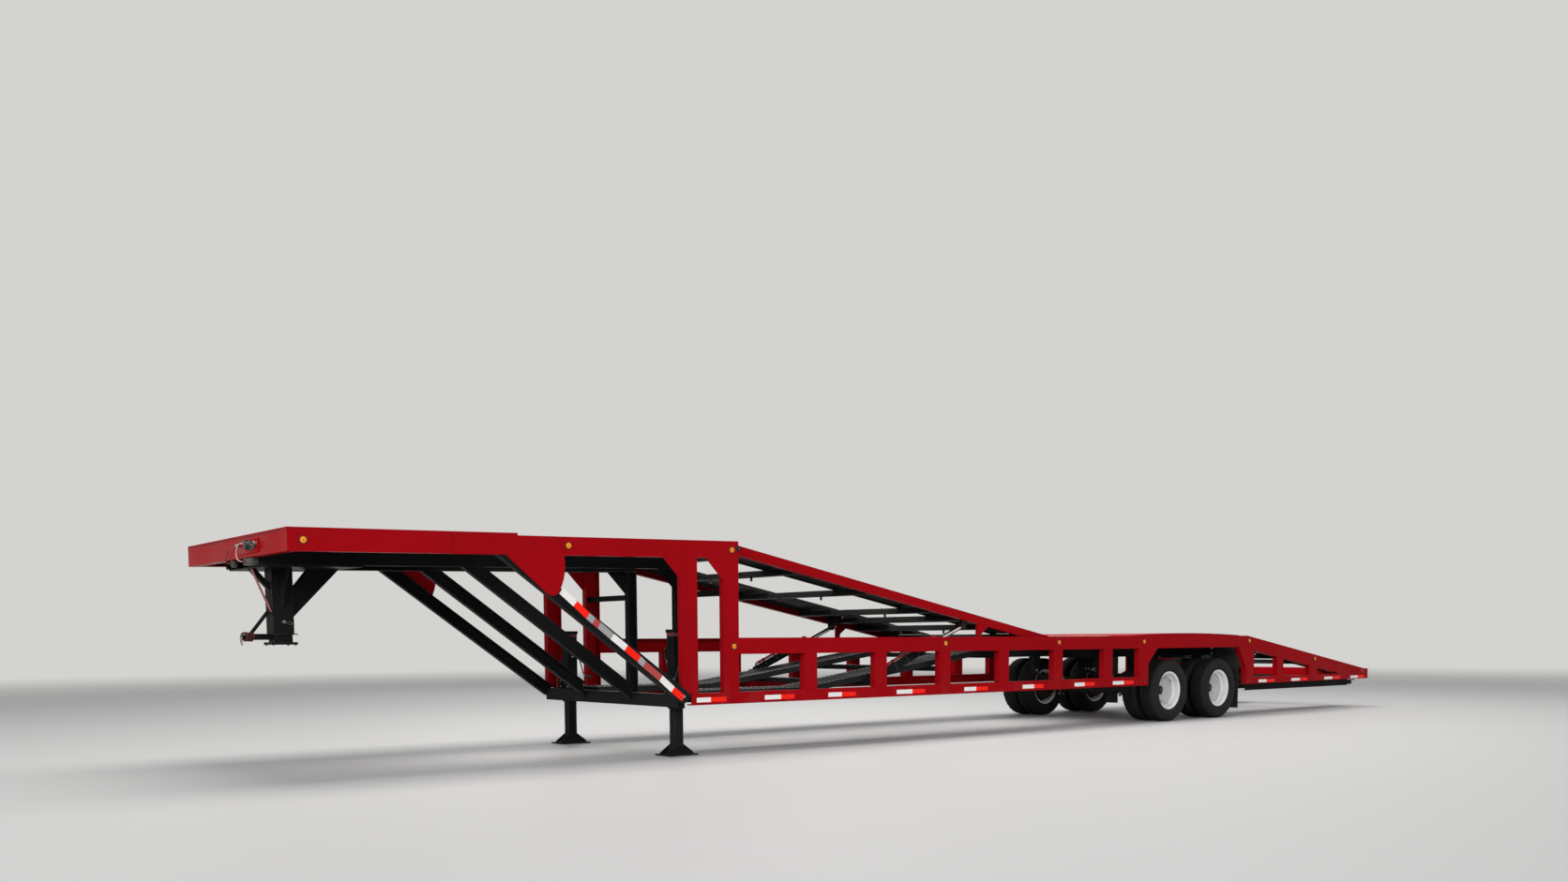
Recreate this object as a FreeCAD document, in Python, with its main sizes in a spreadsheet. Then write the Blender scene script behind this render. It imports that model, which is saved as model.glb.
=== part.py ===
"""Gooseneck car transporter trailer: a two-deck wedge trailer for carrying cars.

Stations run rearwards from the front face of the header, heights run up from the ground, and
the model is centred on the overall length.  X points to the rear, Y to the right side seen from
behind, Z up.  Sub-parts of the left side lie at negative Y and are mirrored for the right side.
"""
import FreeCAD, Part
import math
import os
import Sketcher

V = FreeCAD.Vector
ACROSS = V(0, 1, 0)

doc = FreeCAD.newDocument("car_transporter_trailer")
sheet = doc.addObject("Spreadsheet::Sheet", "Sizes")

# name, millimetres (or degrees), what the size is
DIMENSIONS = (
    ("overall_length", 16280, "header face to tail end"),
    ("half_width", 1295, "centre line to the face of the fish plates"),
    ("plate", 8, "thickness of overlay plates and channel webs"),
    ("flange", 75, "width of the side rails' flanges"),
    ("lip", 10, "thickness of the side rails' flanges"),
    ("seat_gap", 0.1, "gap under the cross members that rest on the inner neck beams"),
    # neck
    ("neck_length", 4167, "header face to the hinge end of the neck"),
    ("neck_front_top", 1910, "top of the neck rail at the header"),
    ("neck_rise", 92, "rise of the neck rail to the hinge"),
    ("neck_depth", 158, "depth of the neck rail"),
    ("header_depth", 75, "fore-and-aft size of the header"),
    ("deck_plate_length", 1880, "front deck plate on the neck"),
    ("deck_plate_edge", 20, "folded edge of the front deck plate"),
    ("track_inner", 600, "centre line to the inner edge of a runway"),
    ("track_outer", 1045, "centre line to the outer edge of a runway"),
    ("neck_track_end", 4090, "rear end of the neck runways"),
    ("neck_track_depth", 30, "depth of the neck and ramp runways"),
    ("neck_cross_depth", 80, "depth of the neck cross members"),
    ("cross_flange", 45, "flange of a cross member"),
    ("cross_wall", 6, "wall of a cross member"),
    ("inner_beam_place", 430, "centre line to the inner neck beams and diagonals"),
    ("inner_beam_depth", 110, "depth of the inner neck beams"),
    ("inner_beam_flange", 60, "flange of the inner neck beams and diagonals"),
    # gooseneck diagonals
    ("diagonal_depth", 120, "depth of a diagonal, square to its length"),
    ("diagonal_slope", 35.3, "slope of a diagonal in degrees"),
    ("diagonal_foot", 3530, "centre of the round foot of an outer diagonal"),
    ("diagonal_foot_height", 562, "height of that centre"),
    ("front_beam_front", 3500, "front face of the front cross beam"),
    ("front_beam_width", 80, "fore-and-aft size of the front cross beam"),
    ("front_beam_base", 460, "underside of the front cross beam"),
    ("front_beam_top", 580, "top of the front cross beam"),
    # coupler
    ("post_front", 270, "front face of the coupler post"),
    ("post_size", 170, "side of the square coupler post"),
    ("post_wall", 10, "wall of the coupler post"),
    ("post_base", 1150, "lower end of the coupler post"),
    ("head_plate_thick", 12, "thickness of the plate that joins the post to the inner beams"),
    ("socket_size", 148, "side of the square inner coupler tube"),
    ("socket_base", 1059, "underside of the coupler plate"),
    ("socket_plate", 210, "side of the coupler plate"),
    ("socket_plate_thick", 22, "thickness of the coupler plate"),
    ("ball_radius", 30, "radius of the ball socket"),
    ("socket_block", 60, "depth of the ball socket block over the plate"),
    ("socket_wall", 10, "wall of the inner coupler tube"),
    ("socket_reach", 420, "length of the inner coupler tube above its plate"),
    ("coupler_pin", 12, "radius of the pin through the post and the inner tube"),
    ("coupler_pin_height", 1250, "height of that pin"),
    ("arm_front", 60, "front end of the coupler's arm"),
    ("arm_depth", 42, "depth of the coupler's arm"),
    ("arm_wall", 8, "wall of the coupler's arm"),
    # lower side frame
    ("rail_front", 3613, "front end of the lower side rail"),
    ("rail_base", 479, "underside of the lower side rail"),
    ("rail_top", 589, "top of the lower side rail"),
    ("rail_end", 10637, "rear end of the lower side rail"),
    ("mid_base", 945, "underside of the mid rail"),
    ("deck_top", 1100, "top of the mid rail and of the deck over the axles"),
    ("mid_end", 12900, "rear end of the mid rail"),
    ("post_a", 3520, "front edge of the first upright"),
    ("post_b", 3994, "front edge of the second upright"),
    ("upright_width", 170, "width of an upright"),
    ("gusset_run", 205, "fore-and-aft size of an upright's gusset"),
    ("gusset_drop", 216, "height of an upright's gusset"),
    ("side_post_first", 5052, "centre of the first side post"),
    ("side_post_pitch", 953, "pitch of the side posts"),
    ("side_post_width", 165, "width of a side post"),
    ("arch_post_front", 10442, "front edge of the post before the wheels"),
    ("arch_post_width", 195, "width of the posts beside the wheels"),
    ("arch_rear", 12878, "front edge of the post behind the wheels"),
    ("arch_gusset", 190, "size of the wheel arch gussets"),
    # belly
    ("well_front", 3770, "front end of the belly runways"),
    ("well_end", 5200, "where the belly runways start to climb"),
    ("well_top", 600, "top of the belly runways in the well"),
    ("crest", 8850, "where the belly runways reach the axle deck"),
    ("track_depth", 60, "depth of the belly and tail runways"),
    ("track_wall", 6, "wall of a runway"),
    ("belly_cross_depth", 50, "depth of the cross members in the well"),
    ("axle_cross_depth", 60, "depth of the cross members under the axle deck"),
    ("beam_inner", 512, "centre line to the inner face of a chassis beam"),
    ("beam_width", 76, "width of a chassis beam"),
    ("beam_depth", 150, "depth of a chassis beam"),
    ("beam_front", 9700, "front end of a chassis beam"),
    ("beam_end", 13120, "rear end of a chassis beam"),
    ("crown_front", 10200, "front end of the crowned deck plate"),
    ("crown_end", 12700, "rear end of the crowned deck plate"),
    ("crown_height", 30, "height of the crowned deck plate"),
    ("crown_thick", 6, "thickness of the crowned deck plate"),
    # tail
    ("tail_end", 16180, "front face of the rear beam"),
    ("tail_end_top", 592, "top of the tail at its rear end"),
    ("tail_depth", 178, "upright depth of the sloping tail rail"),
    ("tail_base", 440, "underside of the tail's lower rail"),
    ("tail_rail_top", 530, "top of the tail's lower rail"),
    ("tail_post_a", 13674, "front edge of the first tail post"),
    ("tail_post_b", 14557, "front edge of the second tail post"),
    ("tail_post_width", 165, "width of the first tail post"),
    # running gear
    ("axle_front", 11156, "station of the front axle"),
    ("axle_rear", 12281, "station of the rear axle"),
    ("tyre_radius", 400, "outer radius of a tyre"),
    ("tyre_width", 234, "section width of a tyre"),
    ("dual_half_gap", 135, "wheel mounting plane to the middle of a tyre"),
    ("dual_place", 1018, "centre line to the mounting plane of twin wheels"),
    ("rim_flange", 244, "radius of a rim flange"),
    ("axle_radius", 63.5, "radius of an axle tube"),
    ("spindle_radius", 45, "radius of an axle spindle"),
    ("spindle_gap", 0.3, "radial clearance of an axle spindle"),
    ("spring_seat", 470, "underside of a leaf spring at its axle"),
    ("spring_eye", 590, "underside of a leaf spring at its eyes"),
    ("spring_thick", 56, "thickness of a leaf spring pack"),
    ("spring_tip", 18, "thickness of a leaf spring's main leaf"),
    ("spring_flat", 60, "half-length of a leaf spring's flat middle and length of its ends"),
    ("spring_span", 1060, "length of a leaf spring"),
    # lift ramp
    ("hinge_station", 4162, "station of the ramp's hinge"),
    ("hinge_height", 1933, "height of the ramp's hinge"),
    ("hinge_radius", 20, "radius of the ramp's hinge shaft"),
    ("hinge_gap", 0.3, "radial clearance of the hinge shaft"),
    ("ramp_front", 4204, "front end of the ramp rails"),
    ("ramp_front_top", 1974, "top of the ramp rail at its front end"),
    ("ramp_fall", 0.19, "fall of the ramp for each unit of length"),
    ("ramp_depth", 92, "upright depth of a ramp rail"),
    ("ramp_end", 8780, "rear end of the ramp rails"),
    ("ramp_outer", 1205, "centre line to the outer face of a ramp rail"),
    ("ramp_flange", 60, "flange of a ramp rail"),
    ("ramp_track_end", 8590, "rear end of the ramp runways"),
    ("ramp_track_inner", 560, "centre line to the inner edge of a ramp runway"),
    ("leg_front", 7560, "front edge of the ramp's rest leg"),
    # lift cylinders
    ("cylinder_place", 1108, "centre line to a lift cylinder"),
    ("base_pin_station", 6160, "station of the cylinder's base pin"),
    ("base_pin_height", 700, "height of the cylinder's base pin"),
    ("eye_pin_station", 7420, "station of the rod's eye"),
    ("eye_pin_height", 1226, "height of the rod's eye"),
    ("barrel_radius", 43, "outer radius of a cylinder barrel"),
    ("barrel_bore", 35, "bore radius of a cylinder barrel"),
    ("barrel_length", 880, "base pin to the barrel's head"),
    ("rod_radius", 26, "radius of a cylinder rod"),
    ("rod_gap", 0.3, "radial clearance of a rod in its gland"),
    ("pin_radius", 14, "radius of the cylinder pins"),
    ("eye_radius", 34, "outer radius of the cylinder eyes"),
    ("eye_width", 48, "width of the cylinder eyes"),
    # landing jacks, loading ramps and mud flaps
    ("jack_place", 983, "centre line to a landing jack"),
    ("jack_size", 115, "side of a jack's square sleeve"),
    ("jack_front", 3590, "front face of a jack's sleeve"),
    ("jack_top", 1150, "top of a jack's sleeve"),
    ("jack_leg", 92, "side of a jack's inner leg"),
    ("jack_foot", 240, "width of a jack's foot"),
    ("jack_foot_length", 330, "fore-and-aft size of a jack's foot"),
    ("foot_thick", 14, "thickness of a jack's foot plate"),
    ("foot_gusset", 90, "height of a jack foot's gussets"),
    ("loader_front", 13620, "front end of a stowed loading ramp"),
    ("loader_end", 16270, "rear end of a stowed loading ramp"),
    ("loader_base", 346.5, "underside of a stowed loading ramp"),
    ("loader_depth", 70, "depth of a loading ramp's side bars"),
    ("loader_bar", 36, "width of a loading ramp's side bars"),
    ("loader_wall", 6, "wall of a loading ramp's bars and rungs"),
    ("loader_inner", 622, "centre line to the inner side of a loading ramp"),
    ("loader_width", 416, "width of a loading ramp"),
    ("flap_base", 110, "lower edge of a mud flap"),
    ("flap_inner", 790, "centre line to the inner edge of a mud flap"),
    ("flap_width", 415, "width of a mud flap"),
    # fittings and lamps
    ("lead_radius", 5, "radius of the leads at the header"),
    ("hose_radius", 7, "radius of a jack's hose"),
    ("lamp_radius", 32, "radius of a marker lamp's grommet"),
    ("lens_radius", 23, "radius of a marker lamp's lens"),
    ("lamp_proud", 7, "how far a marker lamp stands out"),
    ("stop_lamp_radius", 54, "radius of a rear lamp"),
)


class Size:
    """A size that knows its value and the spreadsheet expression that drives it."""

    def __init__(self, value, text):
        self.value = value
        self.text = text

    def __add__(self, other):
        return Size(self.value + size(other).value, f"({self.text} + {size(other).text})")

    def __sub__(self, other):
        return Size(self.value - size(other).value, f"({self.text} - {size(other).text})")

    def __mul__(self, other):
        return Size(self.value * size(other).value, f"({self.text} * {size(other).text})")

    def __truediv__(self, other):
        return Size(self.value / size(other).value, f"({self.text} / {size(other).text})")

    def __neg__(self):
        return Size(-self.value, f"(-{self.text})")

    def __rsub__(self, other):
        return size(other) - self

    __radd__ = __add__
    __rmul__ = __mul__


def size(amount):
    """A plain number as a Size; a Size is left as it is."""
    return amount if isinstance(amount, Size) else Size(amount, repr(amount))


class Dimensions:
    """The spreadsheet's cells as attributes."""


d = Dimensions()
for row, (name, amount, note) in enumerate(DIMENSIONS, start=1):
    sheet.set(f"A{row}", name)
    sheet.set(f"B{row}", str(amount))
    sheet.set(f"C{row}", note)
    sheet.setAlias(f"B{row}", name)
    setattr(d, name, Size(amount, "Sizes." + name))
doc.recompute()

# sizes that follow from the driving ones
neck_incline = d.neck_rise / d.neck_length
half_length = d.overall_length / 2
rail_face = d.half_width - d.plate          # outer face of the side rails
rail_inner = rail_face - d.flange           # inner edge of the side rails' flanges
web_inner = rail_face - d.plate             # inner face of the side rails' webs


def neck_top(station):
    """Height of the neck rails' top at a station."""
    return d.neck_front_top + neck_incline * station


def neck_underside(station):
    """Height of the neck rails' underside at a station."""
    return neck_top(station) - d.neck_depth


def inner_beam_top(station):
    """Height of the inner neck beams' top at a station."""
    return neck_top(station) - d.neck_track_depth - d.neck_cross_depth - d.seat_gap


def inner_beam_underside(station):
    """Height of the inner neck beams' underside at a station."""
    return inner_beam_top(station) - d.inner_beam_depth


def ramp_top(station):
    """Height of the ramp's top at a station."""
    return d.ramp_front_top - d.ramp_fall * (station - d.ramp_front)


tail_fall = (d.deck_top - d.tail_end_top) / (d.tail_end - d.mid_end)


def tail_top(station):
    """Height of the tail's top at a station."""
    return d.deck_top - tail_fall * (station - d.mid_end)


# ---------------------------------------------------------------- ways of making a piece
def new_body(name):
    """An empty body whose stations are measured from the header face."""
    body = doc.addObject("PartDesign::Body", name)
    body.setExpression("Placement.Base.x", (-half_length).text)
    return body


def place(body, station=0, across=0, height=0, tilt=None):
    """Puts a body at a station, a distance across and a height, tilted about the cross axis."""
    if tilt is not None:
        body.Placement = FreeCAD.Placement(V(0, 0, 0), FreeCAD.Rotation(ACROSS, 1))
        body.setExpression("Placement.Rotation.Angle", size(tilt).text)
    body.setExpression("Placement.Base.x", (size(station) - half_length).text)
    body.setExpression("Placement.Base.y", size(across).text)
    body.setExpression("Placement.Base.z", size(height).text)
    return body


def sketch(body, corners, plane="XZ_Plane", shift=0):
    """A closed outline of (across, up) corners on one of the body's own planes.

    A third entry in a corner makes the edge that starts there an arc of that radius, which
    bulges to the right of its direction when it is positive and to the left when negative.
    """
    drawing = body.newObject("Sketcher::SketchObject", body.Name + "_outline")
    origin_plane = [f for f in body.Origin.OriginFeatures if f.Role == plane][0]
    drawing.AttachmentSupport = [(origin_plane, "")]
    drawing.MapMode = "FlatFace"
    drawing.setExpression("AttachmentOffset.Base.z", size(shift).text)
    points = [V(size(corner[0]).value, size(corner[1]).value, 0) for corner in corners]
    count = len(corners)
    for i, corner in enumerate(corners):
        start, end = points[i], points[(i + 1) % count]
        if len(corner) == 3:
            drawing.addGeometry(arc(start, end, size(corner[2]).value), False)
        else:
            drawing.addGeometry(Part.LineSegment(start, end), False)
    starts = [2 if len(corner) == 3 and size(corner[2]).value < 0 else 1 for corner in corners]
    for i, corner in enumerate(corners):
        before = (i - 1) % count
        drawing.addConstraint(Sketcher.Constraint(
            "Coincident", before, 3 - starts[before], i, starts[i]))
        for kind, amount in (("DistanceX", corner[0]), ("DistanceY", corner[1])):
            bind(drawing, Sketcher.Constraint(
                kind, -1, 1, i, starts[i], size(amount).value), size(amount))
        if len(corner) == 3:
            radius = Size(abs(size(corner[2]).value), f"abs({size(corner[2]).text})")
            bind(drawing, Sketcher.Constraint("Radius", i, radius.value), radius)
    return drawing


def circle(body, along, radius):
    """A circle on the body's XZ plane, its centre on the X axis."""
    drawing = body.newObject("Sketcher::SketchObject", body.Name + "_circle")
    drawing.AttachmentSupport = [
        ([f for f in body.Origin.OriginFeatures if f.Role == "XZ_Plane"][0], "")]
    drawing.MapMode = "FlatFace"
    centre = V(size(along).value, 0, 0)
    drawing.addGeometry(Part.Circle(centre, V(0, 0, 1), size(radius).value), False)
    bind(drawing, Sketcher.Constraint("DistanceX", -1, 1, 0, 3, centre.x), size(along))
    drawing.addConstraint(Sketcher.Constraint("DistanceY", -1, 1, 0, 3, 0))
    bind(drawing, Sketcher.Constraint("Radius", 0, size(radius).value), size(radius))
    return drawing


def arc(start, end, radius):
    """The shorter arc between two points; it bulges right of the way from start to end when
    the radius is positive.  A sketch's arcs all run counter-clockwise about their centres."""
    chord = end - start
    left = V(-chord.y, chord.x, 0).normalize()
    reach = math.sqrt(max(radius ** 2 - (chord.Length / 2) ** 2, 0))
    centre = (start + end) * 0.5 + left * math.copysign(reach, radius)
    first, last = (start, end) if radius > 0 else (end, start)
    angles = [math.atan2(p.y - centre.y, p.x - centre.x) for p in (first, last)]
    if angles[1] < angles[0]:
        angles[1] += math.tau
    return Part.ArcOfCircle(Part.Circle(centre, V(0, 0, 1), abs(radius)), *angles)


def bind(drawing, constraint, amount):
    """Adds a constraint that the spreadsheet drives."""
    index = drawing.addConstraint(constraint)
    drawing.setExpression(f"Constraints[{index}]", amount.text)


def pad(body, drawing, length, centred=False):
    """Pads a sketch; one that isn't centred goes against its plane's normal, towards +Y."""
    feature = body.newObject("PartDesign::Pad", body.Name + "_pad")
    feature.Profile = drawing
    feature.SideType = "Symmetric" if centred else "One side"
    feature.Reversed = not centred
    feature.setExpression("Length", size(length).text)
    return body


def pocket(body, drawing, length, centred=False):
    """Cuts a sketch out of the body; one that isn't centred cuts towards -Y."""
    feature = body.newObject("PartDesign::Pocket", body.Name + "_pocket")
    feature.Profile = drawing
    feature.SideType = "Symmetric" if centred else "One side"
    feature.Reversed = not centred
    feature.setExpression("Length", size(length).text)
    return body


def side_plate(name, corners, face=rail_face, thick=d.plate):
    """A plate standing on the left side with its outer face at a distance from the middle."""
    body = new_body(name)
    pad(body, sketch(body, corners), thick)
    return place(body, 0, -face)


def side_channel(name, corners, hollow, flange=d.flange, face=rail_face, wall=d.plate):
    """A channel on the left side, open inwards: its outline and the hollow behind its web."""
    body = side_plate(name, corners, face, flange)
    return pocket(body, sketch(body, hollow, shift=-flange), flange - wall)


def sloping_channel(name, front, rear, top, depth, **place_of):
    """A side channel with upright ends between two stations under a line of heights."""
    corners = strip(front, rear, top(front), top(rear), depth)
    beyond = 200
    hollow = strip(front - beyond, rear + beyond, top(front - beyond) - d.lip,
                   top(rear + beyond) - d.lip, depth - d.lip * 2)
    return side_channel(name, corners, hollow, **place_of)


def strip(front, rear, front_top, rear_top, depth):
    """Corners of a band of the same upright depth between two stations."""
    return [(front, front_top - depth), (rear, rear_top - depth),
            (rear, rear_top), (front, front_top)]


def cross_channel(name, station, height, span, depth, tilt=None, width=d.cross_flange):
    """A channel lying across the trailer, its top middle at the station and height."""
    half, wall = width / 2, d.cross_wall
    body = new_body(name)
    pad(body, sketch(body, [
        (-half, -depth), (half, -depth), (half, wall - depth), (wall - half, wall - depth),
        (wall - half, -wall), (half, -wall), (half, 0), (-half, 0)]), span, centred=True)
    return place(body, station, 0, height, tilt)


def runway(name, line, depth, inner=d.track_inner, outer=d.track_outer):
    """A wheel track, a shallow channel open below, under a line of (station, top) points."""
    top = list(line)
    wall = d.track_wall
    width = outer - inner
    body = new_body(name)
    under = [(station, height - depth) for station, height in top]
    pad(body, sketch(body, under + top[::-1]), width, centred=True)
    first, last, beyond = top[0], top[-1], 50
    hollow = [(first[0] - beyond, first[1])] + top + [(last[0] + beyond, last[1])]
    ceiling = [(station, height - wall) for station, height in hollow]
    floor = [(station, height - depth - beyond) for station, height in hollow]
    pocket(body, sketch(body, floor + ceiling[::-1]), width - wall * 2, centred=True)
    return place(body, 0, -(inner + outer) / 2)


def block(name, station, across, height, long, wide, tall):
    """A box by its lowest corner and its sizes along, across and up."""
    box = doc.addObject("Part::Box", name)
    for key, amount in (("Length", long), ("Width", wide), ("Height", tall),
                        ("Placement.Base.x", size(station) - half_length),
                        ("Placement.Base.y", across), ("Placement.Base.z", height)):
        box.setExpression(key, size(amount).text)
    return box


def bar(name, radius, length, station, across, height):
    """A round bar lying across the trailer, from a distance across towards +Y."""
    rod = doc.addObject("Part::Cylinder", name)
    rod.Placement = FreeCAD.Placement(V(0, 0, 0), FreeCAD.Rotation(V(1, 0, 0), -90))
    for key, amount in (("Radius", radius), ("Height", length),
                        ("Placement.Base.x", size(station) - half_length),
                        ("Placement.Base.y", across), ("Placement.Base.z", height)):
        rod.setExpression(key, size(amount).text)
    return rod


def lamp_stud(name, radius, length, station, across, height):
    """A round bar lying fore and aft, from a station rearwards."""
    stud = doc.addObject("Part::Cylinder", name)
    stud.Placement = FreeCAD.Placement(V(0, 0, 0), FreeCAD.Rotation(ACROSS, 90))
    for key, amount in (("Radius", radius), ("Height", length),
                        ("Placement.Base.x", size(station) - half_length),
                        ("Placement.Base.y", across), ("Placement.Base.z", height)):
        stud.setExpression(key, size(amount).text)
    return stud


def hose(name, route, radius):
    """A hose along (station, across, height) points: straight runs joined by tangent arcs."""
    points = [V(*point) for point in route]
    edges = []
    start = points[0]
    for before, corner, after in zip(points, points[1:], points[2:]):
        back, ahead = before - corner, after - corner
        reach = 0.45 * min(back.Length, ahead.Length)
        first = corner + back.normalize() * reach
        last = corner + ahead.normalize() * reach
        turn = math.pi - back.getAngle(ahead)
        bend = reach / math.tan(turn / 2)
        middle = corner + (back + ahead).normalize() * (math.hypot(reach, bend) - bend)
        edges += [Part.makeLine(start, first), Part.Arc(first, middle, last).toShape()]
        start = last
    edges.append(Part.makeLine(start, points[-1]))
    section = Part.Wire([Part.makeCircle(
        size(radius).value, points[0], points[1] - points[0])])
    tube = doc.addObject("Part::Feature", name)
    tube.Shape = Part.Wire(edges).makePipeShell([section], True, True)
    tube.setExpression("Placement.Base.x", (-half_length).text)
    return tube


def mirrored(piece, name):
    """The same piece on the other side of the trailer."""
    twin = doc.addObject("Part::Mirroring", name)
    twin.Source = piece
    twin.Normal = ACROSS
    return twin


def joined(name, pieces):
    """Pieces welded into one."""
    weld = doc.addObject("Part::MultiFuse", name)
    weld.Shapes = pieces
    return weld


def less(name, piece, tool):
    """A piece with another cut out of it."""
    cut = doc.addObject("Part::Cut", name)
    cut.Base = piece
    cut.Tool = tool
    return cut


def group(name, pieces):
    """Like pieces that don't touch, kept as one sub-part."""
    compound = doc.addObject("Part::Compound", name)
    compound.Links = pieces
    return compound


sub_parts = {}


def finish(label, piece):
    """Names a sub-part by its node."""
    piece.Label = label
    sub_parts[label] = piece


def finish_sides(stem, left):
    """Names a left sub-part and makes its right twin."""
    finish(stem + "_left", left)
    finish(stem + "_right", mirrored(left, stem + "_twin"))


def both_sides(stem, left):
    """One sub-part that holds a left piece and its mirror image."""
    finish(stem, group(stem + "_pair", [left, mirrored(left, stem + "_twin")]))


# ---------------------------------------------------------------- neck
# Header: a closed beam across the front, hollow behind its face.
header = new_body("header")
pad(header, sketch(header, strip(0, d.header_depth, d.neck_front_top, d.neck_front_top,
                                 d.neck_depth)), rail_face * 2, centred=True)
pocket(header, sketch(header, [
    (d.plate, d.neck_front_top - d.neck_depth + d.lip),
    (d.header_depth + 50, d.neck_front_top - d.neck_depth + d.lip),
    (d.header_depth + 50, d.neck_front_top - d.lip),
    (d.plate, d.neck_front_top - d.lip)]), web_inner * 2, centred=True)
finish("header_beam", place(header))

# Side rails of the neck: channels that rise towards the hinge.
finish_sides("neck_rail", sloping_channel(
    "neck_rail", d.header_depth, d.neck_length, neck_top, d.neck_depth))

# Neck deck: two runways between the rails, and a plate laid over them at the front.
deck_plate = new_body("deck_plate")
pad(deck_plate, sketch(deck_plate, [
    (0, d.neck_front_top),
    (d.header_depth, neck_top(d.header_depth)),
    (d.deck_plate_length, neck_top(d.deck_plate_length)),
    (d.deck_plate_length, neck_top(d.deck_plate_length) + d.deck_plate_edge),
    (0, d.neck_front_top + d.deck_plate_edge)]), rail_face * 2, centred=True)
neck_track = runway("neck_track", [
    (d.header_depth, neck_top(d.header_depth)), (d.neck_track_end, neck_top(d.neck_track_end))],
    d.neck_track_depth, d.track_inner, rail_inner)
finish("neck_deck", place(deck_plate))
both_sides("neck_runways", neck_track)

# Cross members of the neck, webs forward, and the two inner beams under them.
neck_tilt = -math.degrees(math.atan(neck_incline.value))
neck_cross_first, neck_cross_pitch, neck_cross_count = 400, 610, 7
neck_cross = []
for i in range(neck_cross_count):
    at = neck_cross_first + i * neck_cross_pitch
    neck_cross.append(cross_channel(
        f"neck_cross_{i}", at, neck_top(at) - d.neck_track_depth, web_inner * 2,
        d.neck_cross_depth, neck_tilt))
finish("neck_cross_members", group("neck_cross", neck_cross))

inner_beam_end = 4120
both_sides("neck_inner_beams", sloping_channel(
    "inner_beam", d.header_depth, inner_beam_end, inner_beam_top, d.inner_beam_depth,
    flange=d.inner_beam_flange, face=d.inner_beam_place + d.inner_beam_flange / 2))

# ---------------------------------------------------------------- coupler
post_middle = d.post_front + d.post_size / 2
post_top = inner_beam_underside(d.post_front) - d.head_plate_thick / 2
post_shell = block("post_shell", d.post_front, -d.post_size / 2, d.post_base,
                   d.post_size, d.post_size, post_top - d.post_base)
post_bore = block("post_bore", d.post_front + d.post_wall, d.post_wall - d.post_size / 2,
                  d.post_base - 10, d.post_size - d.post_wall * 2,
                  d.post_size - d.post_wall * 2, post_top - d.post_base - 20)
pin_bore = bar("coupler_pin_bore", d.coupler_pin + d.rod_gap, d.post_size + 20, post_middle,
               -(d.post_size / 2 + 10), d.coupler_pin_height)
post_tube = less("post_tube", post_shell, joined("post_hollows", [post_bore, pin_bore]))

# Head plate that joins the post to the inner beams, and its side gussets.
reach = d.inner_beam_place + d.inner_beam_flange / 2
head_front, head_rear = 100, 900
head_plate = new_body("head_plate")
pad(head_plate, sketch(head_plate, strip(
    head_front, head_rear, inner_beam_underside(head_front), inner_beam_underside(head_rear),
    d.head_plate_thick)), reach * 2, centred=True)
gusset = new_body("post_gusset")
gusset_root = d.post_size / 2 - d.post_wall / 2
gusset_tip, gusset_tall, gusset_edge = 260, 330, 30
pad(gusset, sketch(gusset, [
    (gusset_root, post_top - gusset_tall), (gusset_tip, post_top - gusset_edge),
    (gusset_tip, post_top), (gusset_root, post_top)], plane="YZ_Plane"), d.head_plate_thick)
gusset_front = place(gusset, post_middle, 0, 0)
# Braces from the post to the head plate, (station at the head, height at the post) of each
# edge; their ends sink a little into what they are welded to.
sunk = 5
for_braces = (
    ("rear_brace", d.post_front + d.post_size - sunk, (850, 1275), (600, 1492), 100),
    ("front_brace", d.post_front + sunk, (105, 1500), (160, 1560), 60))
braces = []
for name, root, (low_head, low_root), (high_head, high_root), wide in for_braces:
    brace = new_body(name)
    pad(brace, sketch(brace, [
        (root, low_root), (low_head, inner_beam_underside(low_head) - sunk),
        (high_head, inner_beam_underside(high_head) - sunk), (root, high_root)]),
        wide, centred=True)
    braces.append(place(brace))
finish("coupler_post", joined("coupler_weld", [
    post_tube, place(head_plate), gusset_front, mirrored(gusset_front, "gusset_twin"),
    *braces]))

# Inner coupler tube with its plate, ball socket, arm and collar; a stay runs from the arm's
# front end up to the post, and a pin holds the tube in the post.
socket_half = d.socket_size / 2
tube_base = d.socket_base + d.socket_plate_thick
inner_tube = less("inner_tube", block(
    "inner_shell", post_middle - socket_half, -socket_half, tube_base,
    d.socket_size, d.socket_size, d.socket_reach), joined("inner_hollows", [
        block("inner_bore", post_middle - socket_half + d.socket_wall,
              d.socket_wall - socket_half, tube_base, d.socket_size - d.socket_wall * 2,
              d.socket_size - d.socket_wall * 2, d.socket_reach + 10),
        bar("inner_pin_bore", d.coupler_pin + d.rod_gap, d.post_size + 20, post_middle,
            -(d.post_size / 2 + 10), d.coupler_pin_height)]))
plate_half = d.socket_plate / 2
collar_thick, collar_front, collar_length = 8, 145, 323
arm_top = d.post_base - collar_thick
arm_half = 45
arm = new_body("coupler_arm")
pad(arm, sketch(arm, [
    (-arm_half, arm_top - d.arm_depth), (d.arm_wall - arm_half, arm_top - d.arm_depth),
    (d.arm_wall - arm_half, arm_top - d.arm_wall), (arm_half - d.arm_wall, arm_top - d.arm_wall),
    (arm_half - d.arm_wall, arm_top - d.arm_depth), (arm_half, arm_top - d.arm_depth),
    (arm_half, arm_top), (-arm_half, arm_top)], plane="YZ_Plane"),
    post_middle - socket_half - d.arm_front)
stay_radius, stay_slope = 15, 52
stay = doc.addObject("Part::Cylinder", "coupler_stay")
stay.Placement = FreeCAD.Placement(V(0, 0, 0), FreeCAD.Rotation(ACROSS, 1))
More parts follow.
